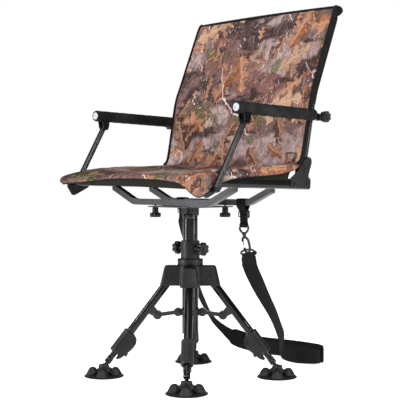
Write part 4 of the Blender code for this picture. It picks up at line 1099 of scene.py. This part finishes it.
def lever_shape(bm):
    """The cam lever: a round cam, a thumb pad that curves away from the leg, and a toothed tip."""
    profile = [(-0.0058, 0.0006), (-0.0040, 0.0052), (0.0020, 0.0076), (0.0110, 0.0082), (0.0220, 0.0072),
               (0.0300, 0.0052), (0.0350, 0.0044), (0.0380, 0.0074), (0.0402, 0.0046), (0.0426, 0.0080),
               (0.0448, 0.0044), (0.0444, 0.0004), (0.0360, -0.0044), (0.0240, -0.0056), (0.0080, -0.0056),
               (0.0010, -0.0056), (-0.0050, -0.0035)]
    outline = leg_outline([(LEVER_AT + along, LEVER_IN + inward) for along, inward in profile])
    plate(bm, rounded_outline(outline, 0.0016, 2), "y", -0.0058, 0.0058, 0.0009)
    rod(bm, on_leg(LEVER_AT, LEVER_IN), Y, 0.0048, -0.0060, 0.0060, 0.0008, 24)
    half = 0.0042 * Y
    for i in range(LEVER_RIBS):
        rib = on_leg(LEVER_AT + 0.010 + i * RIB_PITCH, LEVER_IN + 0.0064)
        pipe(bm, [rib - half, rib, rib + half], 0.0007, 8)


def flat_axes(turn):
    """The level directions out from an upright axis, and round it."""
    out = Vector((math.cos(turn), math.sin(turn), 0))
    return out, Vector((-out.y, out.x, 0))


def foot_lobe(bm, centre, turn):
    """One of the foot's mounds: it flares out to the disc's rim, with a rounded ridge and steep sides."""
    out, side = flat_axes(turn)
    rings = []
    for share in steps(0, 1, 14):
        height = 0.0030 + 0.0225 * math.sin(share * math.pi / 2) ** 1.15
        spread = math.cos(share * math.pi / 2) ** 0.62
        flare = (1 - share) ** 2
        middle = centre + out * (0.0300 + 0.0020 * flare) + Z * height
        wide, deep = 0.0125 * spread + 0.0055 * flare, 0.0130 * spread + 0.0062 * flare
        rings.append(ring(middle, out, side, max(0.0004, wide), max(0.0004, deep), 32, 2.5))
    skin(bm, rings)


def foot_web(bm, centre, turn):
    """A low web between two mounds: its distance out, half width and height."""
    out, side = flat_axes(turn)
    web = ((0.014, 0.0022, 0.0110), (0.026, 0.0020, 0.0075), (0.040, 0.0018, 0.0030),
           (0.0485, 0.0012, 0.0010))
    skin(bm, [ring(centre + out * far + Z * (0.0040 + high), side, Z, wide, high, 16, 2.2)
              for far, wide, high in web])


def foot_shape(bm):
    """The foot: a round disc with a stepped rim, four mounds, and the cup that holds the leg's ball."""
    ground = Vector((on_leg(BALL_AT).x, 0, 0))
    disc = [(0, 0.0002), (0.0500, 0.0002), (0.0528, 0.0010), (0.0532, 0.0022), (0.0520, 0.0036),
            (0.0495, 0.0046), (0.0470, 0.0052), (0.0430, 0.0064), (0.0300, 0.0078), (0.0200, 0.0084),
            (0, 0.0084)]
    lathe(bm, disc, ground, Z, 72)
    for i in range(FOOT_LOBES):
        foot_lobe(bm, ground, math.tau / FOOT_LOBES * i)
        foot_web(bm, ground, math.tau / FOOT_LOBES * (i + 0.5))
    cup = [(0.0166, 0.0040), (0.0160, 0.0110), (0.0148, 0.0130), (0.0146, 0.0250), (0.0149, 0.0268),
           (0.0146, 0.0296), (0.0134, 0.0318), (0.0116, 0.0316), (0.0106, 0.0300), (0.0103, 0.0255),
           (0.0085, 0.0190), (0, 0.0165)]
    rings = []
    for radius, height in cup:
        points = []
        for turn in steps(0, math.tau, CUP_SIDES)[:-1]:
            out, _ = flat_axes(turn)
            notch = ease(-out.x, 0.80, 0.95) * max(0.0, height - 0.0235)
            points.append(ground + radius * out + (height - notch) * Z)
        rings.append(points if radius else [ground + height * Z])
    skin(bm, rings)


def stem_shape(bm):
    """The lower leg's end: a rolled collar, the thin stem and its ball."""
    ball = 0.0090
    profile = [(0, 0.2700), (0.0086, 0.2700), (0.0090, 0.2706), (0.0090, 0.2738), (0.0086, 0.2746),
               (0.0086, 0.2775), (0.0092, 0.2785), (0.0092, 0.2840), (0.0086, 0.2858), (0.0060, 0.2866),
               (0.0047, 0.2874), (0.0045, 0.2910)]
    for turn in steps(math.pi / 4, math.pi, 10)[:-1]:
        profile.append((ball * math.sin(turn), BALL_AT - ball * math.cos(turn)))
    profile.append((0, BALL_AT + ball))
    leg_lathe(bm, profile, 32)


def brace_shape(bm):
    """A brace arm: a flat channel pressed from steel, with a rivet boss at each end."""
    pin, fork = Vector((0.0325, 0.0, 0.1735)), on_leg(FORK_AT, FORK_IN)
    along = (fork - pin).normalized()
    side = Vector((-along.z, 0, along.x))
    outline = []
    for centre, radius, first in ((pin, 0.0048, 90), (fork, 0.0050, -90)):
        for angle in range(first, first + 181, 20):
            turn = math.radians(angle)
            p = centre + radius * (math.cos(turn) * along + math.sin(turn) * side)
            outline.append((p.x, p.z))
    plate(bm, outline, "y", -0.0060, 0.0060, 0.0010)
    for end, radius, half in ((pin, 0.0112, 0.0102), (fork, 0.0118, 0.0104)):
        rod(bm, end, Y, radius, -half, half, 0.0028, 28)
        for side in (-1, 1):
            bolt = [(0, -0.0005), (0.0040, -0.0005), (0.0040, 0.0014), (0.0034, 0.0022), (0, 0.0024)]
            lathe(bm, bolt, end + side * half * Y, side * Y, 20)


def build_legs():
    """Each leg's tube, clamp, lever, foot, stem and brace, turned about the pedestal to its place."""
    parts = (
        ("leg_barrel", barrel_shape, "gloss_black_tube", "leg_{}", ["leg_tube_{}"], 35),
        ("ribbed_clamp", clamp_shape, "black_plastic", "leg_{}", ["leg_clamp_{}"], 35),
        ("cam_lever", lever_shape, "black_plastic", "clamp_lever_{}", ["clamp_lever_{}"], 35),
        ("lobed_foot", foot_shape, "black_rubber", "foot_{}", ["foot_{}"], 40),
        ("stem_collar", stem_shape, "gloss_black_tube", "leg_extension_{}", [], 40),
        ("brace_bar", brace_shape, "black_steel", "brace_arm_{}", ["brace_arm_{}"], 35),
    )
    for number, azimuth in LEG_AZIMUTHS.items():
        for name, shape, look, body, nodes, angle in parts:
            bm = bmesh.new()
            shape(bm)
            turn_to_leg(bm, azimuth)
            piece(f"{name}_{number}", bm, look, body.format(number), [n.format(number) for n in nodes], angle)


build_legs()


# ---------------------------------------------------------------- pedestal
def build_hub():
    """The leg hub: four arms that flare downwards, rounded along their tops, with a bolt through each."""
    sections = ((0.2454, 0.0800, 0.0250), (0.2475, 0.0800, 0.0252), (0.2600, 0.0768, 0.0232),
                (0.2800, 0.0722, 0.0203), (0.2900, 0.0698, 0.0188), (0.2945, 0.0682, 0.0178),
                (0.2970, 0.0660, 0.0162), (0.2980, 0.0625, 0.0135))
    bm = bmesh.new()
    for azimuth in LEG_AZIMUTHS.values():
        turn = Matrix.Rotation(math.radians(azimuth), 3, "Z")
        rings = []
        for z, reach, half in sections:
            row = ring(Vector((reach / 2, 0, z)), X, Y, reach / 2, half, 48, 7.0)
            rings.append([turn @ p for p in row])
        skin(bm, rings)
        for side in (-1, 1):
            start = turn @ (LEG_PIVOT + Vector((0.002, side * 0.0190, 0)))
            rim = [(0, 0.0015), (0.0036, 0.0015), (0.0040, 0.0044), (0.0058, 0.0044), (0.0066, 0.0034),
                   (0.0068, -0.002)]
            lathe(bm, rim, start, turn @ (side * Y), 28)
    core = [(0, 0.2456), (0.0385, 0.2456), (0.0330, 0.2979), (0, 0.2979)]
    lathe(bm, softened(core, 0.003), (0, 0, 0), Z, 48)
    piece("flared_hub", bm, "black_plastic", "base", ["leg_hub"], flat_angle=35)


def bush_rib(turn):
    """The bush's radius round its axis, as a share of its middle one."""
    return 1.0 + 0.018 * math.copysign(1.0, math.sin(BUSH_RIBS * turn))


def build_collar():
    """The collar and its flange, and the ribbed bush at the top of the post."""
    flange = [(0.0210, 0.2983), (0.0332, 0.2983), (0.0338, 0.2992), (0.0338, 0.3140), (0.0328, 0.3155),
              (0.0262, 0.3158), (0.0252, 0.3170), (0.0250, 0.3200), (0.0250, 0.3600), (0.0246, 0.3628),
              (0.0232, 0.3638), (0.0206, 0.3638)]
    bm = bmesh.new()
    lathe(bm, flange, (0, 0, 0), Z, 64)
    for side in (-1, 1):
        boss = [(0.0, 0.0200), (0.0082, 0.0200), (0.0080, 0.0330), (0.0072, 0.0340), (0.0, 0.0340)]
        lathe(bm, boss, (0, 0, COLLAR_KNOB_Z), side * X, 32)
    piece("collar_shell", bm, "black_plastic", "swivel", ["swivel_collar"], flat_angle=35)
    bm = bmesh.new()
    bush = [(0.0198, 0.4300), (0.0222, 0.4304), (0.0228, 0.4316), (0.0228, 0.4515), (0.0198, 0.4522)]
    lathe(bm, bush, (0, 0, 0), Z, 144, bush_rib)
    piece("post_bush", bm, "black_plastic", "seat", flat_angle=35)


build_hub()
build_collar()


# ---------------------------------------------------------------- carry strap
# Where the webbing goes: from the hook's ring, down to the floor behind the chair, round a turn, and back up
# behind the pedestal to its second loop.
STRAP_ROUTE = (
    (0.1505, 0.067, 0.3245), (0.1560, 0.070, 0.2950), (0.1650, 0.087, 0.2550), (0.1690, 0.115, 0.2100),
    (0.1590, 0.162, 0.1550), (0.1330, 0.212, 0.1060), (0.0930, 0.261, 0.0680), (0.0640, 0.300, 0.0400),
    (0.0700, 0.335, 0.0260), (0.0980, 0.352, 0.0240), (0.1200, 0.374, 0.0240), (0.1130, 0.402, 0.0240),
    (0.0800, 0.414, 0.0240), (0.0300, 0.416, 0.0240), (-0.0200, 0.412, 0.0240), (-0.0700, 0.404, 0.0240),
    (-0.1200, 0.391, 0.0260), (-0.1650, 0.366, 0.0380), (-0.1860, 0.325, 0.0640), (-0.1850, 0.270, 0.1050),
    (-0.1680, 0.215, 0.1560), (-0.1460, 0.165, 0.2130), (-0.1260, 0.118, 0.2850), (-0.1120, 0.083, 0.3500),
    (-0.1045, 0.0683, 0.4080),
)
STRAP_WIDE, STRAP_THICK = 0.038, 0.0026
RING_WIDTH_AXIS = Vector((0.685, 0.728, 0.0))
# The direction of the webbing's width, at even steps along it: it twists on its way down, and again on its
# way up.
STRAP_TWIST = (
    (0.69, 0.73, 0.0), (0.38, 0.90, 0.15), (-0.08, 0.87, 0.46), (-0.22, 0.71, 0.66), (-0.20, 0.64, 0.73),
    (-0.09, 0.58, 0.81), (0.0, 0.3, 0.95), (0.0, 0.0, 1.0), (0.0, 0.0, 1.0), (0.0, 0.0, 1.0), (0.0, 0.0, 1.0),
    (0.0, 0.0, 1.0), (0.0, 0.0, 1.0), (-0.25, 0.30, 0.90), (-0.60, 0.62, 0.45), (-0.60, 0.48, 0.62),
    (-0.47, 0.51, 0.71), (-0.40, 0.63, 0.66), (-0.38, 0.76, 0.52), (-0.80, 0.52, 0.20), (-1.0, 0.0, 0.0),
)
PAD_FROM, PAD_TO = 0.395, 0.655  # shares of the webbing that the shoulder pad lies along
PAD_SHIFT, PAD_LIFT = 0.004, 0.0049  # across the webbing, and off its face
CRADLE_Y, CRADLE_Z = 0.067, 0.466
OVAL_X = 0.1505  # the hook's flat ring, and the webbing in it
STRAP_FINE = 600


def strap_frames(count):
    """Points along the webbing with the direction of its width and of its face, and how far along each is."""
    fine = [Vector(smooth_row(STRAP_ROUTE, place)) for place in steps(0, len(STRAP_ROUTE) - 1, STRAP_FINE)]
    travelled = [0.0]
    for a, b in zip(fine, fine[1:]):
        travelled.append(travelled[-1] + (b - a).length)
    frames = []
    for share in steps(0, 1, count):
        goal = travelled[-1] * share
        j = max(1, next((k for k, t in enumerate(travelled) if t >= goal - 1e-9), STRAP_FINE))
        point = fine[j - 1].lerp(fine[j], (goal - travelled[j - 1]) / (travelled[j] - travelled[j - 1]))
        along = (fine[min(j + 2, STRAP_FINE)] - fine[max(j - 3, 0)]).normalized()
        wide = Vector(smooth_row(STRAP_TWIST, share * (len(STRAP_TWIST) - 1)))
        wide = (wide - along * wide.dot(along)).normalized()
        frames.append((point, wide, along.cross(wide), goal))
    return frames


def ribbon(bm, frames, wide, thick, cup=0.0, shift_wide=0.0, shift_face=0.0, columns=8):
    """A band along frames, thinner at its edges. wide and thick are numbers, or functions of how far along.

    It returns each point's place in the cloth: across it and along it."""
    rings, cloth = [], []
    for point, width_axis, face_axis, run in frames:
        w, t = (value(run) if callable(value) else value for value in (wide, thick))
        centre = point + shift_wide * width_axis + shift_face * face_axis
        face, back, shares = [], [], steps(-1, 1, columns)
        for share in shares:
            half, bow = t / 2 * (1.0 - 0.45 * abs(share) ** 8), cup * share * share
            across = centre + width_axis * (share * w / 2)
            face.append(across + face_axis * (half + bow))
            back.append(across + face_axis * (bow - half))
        rings.append(face + back[::-1])
        places = [(share * w / 2, run, 0.0) for share in shares]
        cloth += places + places[::-1]
    skin(bm, rings)
    return cloth


def follow_seat(obj):
    """The strap piece's placement is baked into its mesh; it rides on no body."""
    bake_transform(obj)


def build_pad(length):
    """The padded shoulder stretch, with rounded ends and a piped edge."""
    low, high = PAD_FROM * length, PAD_TO * length
    frames = [f for f in strap_frames(300) if low <= f[3] <= high]

    def wide(run):
        end = min(1.0, max(0.0, min(run - low, high - run)) / 0.020)
        return 0.048 * (0.42 + 0.58 * math.sqrt(1 - (1 - end) ** 2))

    def thick(run):
        return 0.0058 * (0.45 + 0.55 * ease(min(run - low, high - run), 0.0, 0.012))

    bm = bmesh.new()
    cloth = ribbon(bm, frames, wide, thick, 0.0, PAD_SHIFT, PAD_LIFT, 14)
    edges = []
    for side in (-1, 1):
        for p, across, face, run in frames[::side]:
            edges.append(p + across * (PAD_SHIFT + side * (wide(run) / 2 - 0.0004)) + face * PAD_LIFT)
    sides = 8
    pipe(bm, edges, 0.0017, sides, closed=True)
    cloth += [(0.5, 0.004 * (i // sides), 0.0) for i in range(len(bm.verts) - len(cloth))]
    pad = piece("strap_shoulder_pad", bm, "black_webbing", None, ["shoulder_pad"], 60, cloth)
    follow_seat(pad)
    return pad


def build_fold(width_axis, face_axis):
    """The webbing's end, folded over the bar of the hook's ring."""
    bar, gap = Vector((OVAL_X, CRADLE_Y, 0.3320)), 0.0034
    rows = []
    for depth in steps(0.030, 0.004, 6):
        rows.append((bar - Z * depth + face_axis * 0.0030, width_axis, face_axis, -depth))
    for turn in steps(0, math.pi, 10):
        out = face_axis * math.cos(turn) + Z * math.sin(turn)
        rows.append((bar + out * gap, width_axis, out, gap * turn))
    for depth in steps(0.004, 0.012, 3):
        rows.append((bar - Z * depth - face_axis * gap, width_axis, -face_axis, 0.012 + depth))
    bm = bmesh.new()
    cloth = ribbon(bm, rows, 0.0345, 0.0022)
    return piece("strap_fold", bm, "black_webbing", "seat", flat_angle=50, cloth=cloth)


def build_strap(hook):
    frames = strap_frames(240)
    length = frames[-1][3]
    bm = bmesh.new()
    wobble = [(p + face * 0.0006 * math.sin(run * 47), wide, face, run) for p, wide, face, run in frames]
    cloth = ribbon(bm, wobble, STRAP_WIDE, STRAP_THICK, cup=-0.0008)
    strap = piece("carry_strap", bm, "black_webbing", replaces=["strap_webbing"], flat_angle=50, cloth=cloth)
    follow_seat(strap)
    pad = build_pad(length)
    fold = build_fold(*frames[0][1:3])
    path = [tuple(p + Y * POLE_Y) for p, _, _, _ in frames]


def loop_rows(x, eye_z, slant):
    """The closed path of a webbing loop: round the cradle tube, down to its eye, and back up."""
    out, z = 0.0096, CRADLE_Z
    half = [(out, z + out), (out, z - out), (0.0014, z - 0.024), (0.0014, eye_z + 0.008),
            (0.0040, eye_z + 0.0030), (0.0030, eye_z - 0.0030)]
    corners = [(0, z + out), *((-u, v) for u, v in half), (0, eye_z - 0.0043), *half[::-1], (0.0001, z + out)]
    path = softened([Vector((0, CRADLE_Y + u, v)) for u, v in corners], 0.0045, 5)
    rows, run = [], 0.0
    for i, point in enumerate(path):
        before = path[i - 1] if i else path[-2]
        after = path[i + 1] if i + 1 < len(path) else path[1]
        run += (point - path[i - 1]).length if i else 0.0
        along = (after - before).normalized()
        shift = slant * ease(CRADLE_Z - point.z, 0.0, 0.055)
        rows.append((point + X * (x + shift), X, along.cross(X), run))
    return rows


def wire_ring(bm, corners, radius, sides, bend, count):
    """A closed ring of wire through corners, each bent round but the first."""
    pipe(bm, softened([*corners, corners[0]], bend, count)[:-1], radius, sides, closed=True)


def build_loop(name, x, eye_z, slant):
    rows = loop_rows(x, eye_z, slant)
    heights = {row[3]: row[0].z for row in rows}

    def width(run):
        return 0.0245 + 0.0065 * ease(heights[run], CRADLE_Z - 0.030, CRADLE_Z - 0.006)

    bm = bmesh.new()
    cloth = ribbon(bm, rows, width, 0.0021)
    piece(f"cradle_loop_{name}", bm, "black_webbing", "seat", [f"strap_loop_{name}"], 50, cloth)
    bm = bmesh.new()
    middle = Vector((x + slant * 0.6, CRADLE_Y, eye_z + 0.0300))
    wide, high = 0.0150, 0.0062
    for side in (-1, 1):
        corners = [middle + Y * side * 0.0034 + u * X + v * Z
                   for u, v in ((-wide, -high), (wide, -high), (wide, high), (-wide, high))]
        wire_ring(bm, corners, 0.0014, 8, 0.002, 3)
    stub = [(0.0142, -0.0105), (0.0186, -0.0092), (0.0192, 0.0060), (0.0170, 0.0105), (0.0142, 0.0112)]
    plate(bm, rounded_outline([(middle.x + u, middle.z + v) for u, v in stub], 0.0015),
          "y", CRADLE_Y - 0.0042, CRADLE_Y + 0.0042, 0.0010)
    piece(f"loop_buckle_{name}", bm, "black_plastic", "seat")


def build_hook():
    """The D-ring, the swivel, the snap hook and the flat ring that the webbing hangs from."""
    eye = Vector((0.134, CRADLE_Y, 0.4055))
    side = RING_WIDTH_AXIS.normalized()
    bm = bmesh.new()
    d_ring = ((-0.0150, 0.0), (0.0150, 0.0), (0.0158, -0.0100), (0.0068, -0.0192), (-0.0068, -0.0192),
              (-0.0158, -0.0100))
    wire_ring(bm, [eye + u * X + v * Z for u, v in d_ring], 0.0028, 12, 0.004, 4)
    top, low = Vector((0.1345, CRADLE_Y, 0.3860)), Vector((0.1368, CRADLE_Y, 0.3740))
    barrel = [(0, -0.0010), (0.0034, -0.0008), (0.0050, 0.0012), (0.0054, 0.0040), (0.0048, 0.0066),
              (0.0036, 0.0076), (0.0036, 0.0088), (0.0046, 0.0096), (0.0046, 0.0118), (0.0030, 0.0132),
              (0, 0.0134)]
    lathe(bm, barrel, top, low - top, 28)

    def on_hook(u, z):
        share = (0.3770 - z) / 0.0430
        middle = Vector((0.1364, CRADLE_Y, 0.3770)).lerp(Vector((0.1500, CRADLE_Y, 0.3340)), share)
        return middle + side * u

    spine = [(-0.0072, 0.3655), (-0.0074, 0.3705), (-0.0030, 0.3752), (0.0035, 0.3745), (0.0072, 0.3690),
             (0.0076, 0.3600), (0.0074, 0.3500), (0.0060, 0.3410), (0.0010, 0.3355), (-0.0050, 0.3372),
             (-0.0074, 0.3425), (-0.0070, 0.3475)]
    pipe(bm, softened([on_hook(u, z) for u, z in spine], 0.005, 5), 0.0033, 12)
    pipe(bm, [on_hook(-0.0072, 0.3660), on_hook(-0.0074, 0.3560)], 0.0011, 8)
    oval = ((-0.0180, -0.0062), (0.0180, -0.0062), (0.0205, -0.0018), (0.0095, 0.0058), (-0.0095, 0.0058),
            (-0.0205, -0.0018))
    middle = Vector((OVAL_X, CRADLE_Y, 0.3380))
    wire_ring(bm, [middle + u * side + v * Z for u, v in oval], 0.0026, 12, 0.0035, 4)
    return piece("swivel_hook", bm, "black_steel", "seat", ["snap_hook"], flat_angle=60)


build_strap(build_hook())
build_loop("left", 0.1310, 0.4055, 0.0030)
build_loop("right", -0.1040, 0.4112, 0.0)


# ---------------------------------------------------------------- studio
def area_light(name, place, aim, size, power):
    data = bpy.data.lights.new(name, "AREA")
    data.shape, data.energy = "RECTANGLE", power
    data.size, data.size_y = size
    light = bpy.data.objects.new(name, data)
    bpy.context.scene.collection.objects.link(light)
    light.location = place
    light.rotation_euler = (Vector(aim) - Vector(place)).to_track_quat("-Z", "Y").to_euler()


def make_studio():
    bm = bmesh.new()
    bmesh.ops.create_grid(bm, x_segments=8, y_segments=8, size=9.0)
    mesh = bpy.data.meshes.new("studio_floor")
    bm.to_mesh(mesh)
    bm.free()
    mesh.materials.append(LOOKS["floor"])
    floor = bpy.data.objects.new("studio_floor", mesh)
    bpy.context.scene.collection.objects.link(floor)
    floor.location.z = -0.0005
    make_world()
    area_light("key", (2.4, -1.5, 2.3), (0, 0, 0.5), (0.5, 1.6), 54)
    area_light("left_strip", (-1.3, -2.6, 0.9), (0, 0, 0.5), (0.06, 2.2), 74)
    area_light("right_strip", (2.9, 0.9, 0.9), (0, 0, 0.5), (0.06, 2.2), 52)
    area_light("top", (0.4, -1.6, 2.6), (0, 0, 0.6), (1.4, 1.4), 27)


def make_world():
    """A white backdrop where the camera looks, and a dimmer room all round it."""
    world = bpy.data.worlds.new("studio")
    bpy.context.scene.world = world
    world.use_nodes = True
    nodes, links = world.node_tree.nodes, world.node_tree.links
    place = nodes.new("ShaderNodeTexCoord")
    facing = nodes.new("ShaderNodeVectorMath")
    facing.operation = "DOT_PRODUCT"
    facing.inputs[1].default_value = VIEW
    fade = nodes.new("ShaderNodeMapRange")
    fade.inputs["From Min"].default_value = 0.84
    fade.inputs["From Max"].default_value = 0.955
    fade.inputs["To Min"].default_value = 0.17
    fade.inputs["To Max"].default_value = 1.0
    links.new(place.outputs["Generated"], facing.inputs[0])
    links.new(facing.outputs["Value"], fade.inputs["Value"])
    seen = nodes.new("ShaderNodeLightPath")
    strength = nodes.new("ShaderNodeMath")
    strength.operation = "MAXIMUM"
    links.new(fade.outputs["Result"], strength.inputs[0])
    links.new(seen.outputs["Is Camera Ray"], strength.inputs[1])
    links.new(strength.outputs[0], nodes["Background"].inputs["Strength"])
    nodes["Background"].inputs["Color"].default_value = (1.0, 1.0, 1.0, 1.0)


def make_camera():
    data = bpy.data.cameras.new("camera")
    data.lens, data.sensor_width = 97.83, 36.0
    camera = bpy.data.objects.new("camera", data)
    bpy.context.scene.collection.objects.link(camera)
    camera.location = (2.1193, -2.0072, 0.5374)
    camera.rotation_euler = VIEW.to_track_quat("-Z", "Y").to_euler()
    bpy.context.scene.camera = camera


make_studio()
make_camera()
bpy.context.scene.view_settings.view_transform = "Standard"
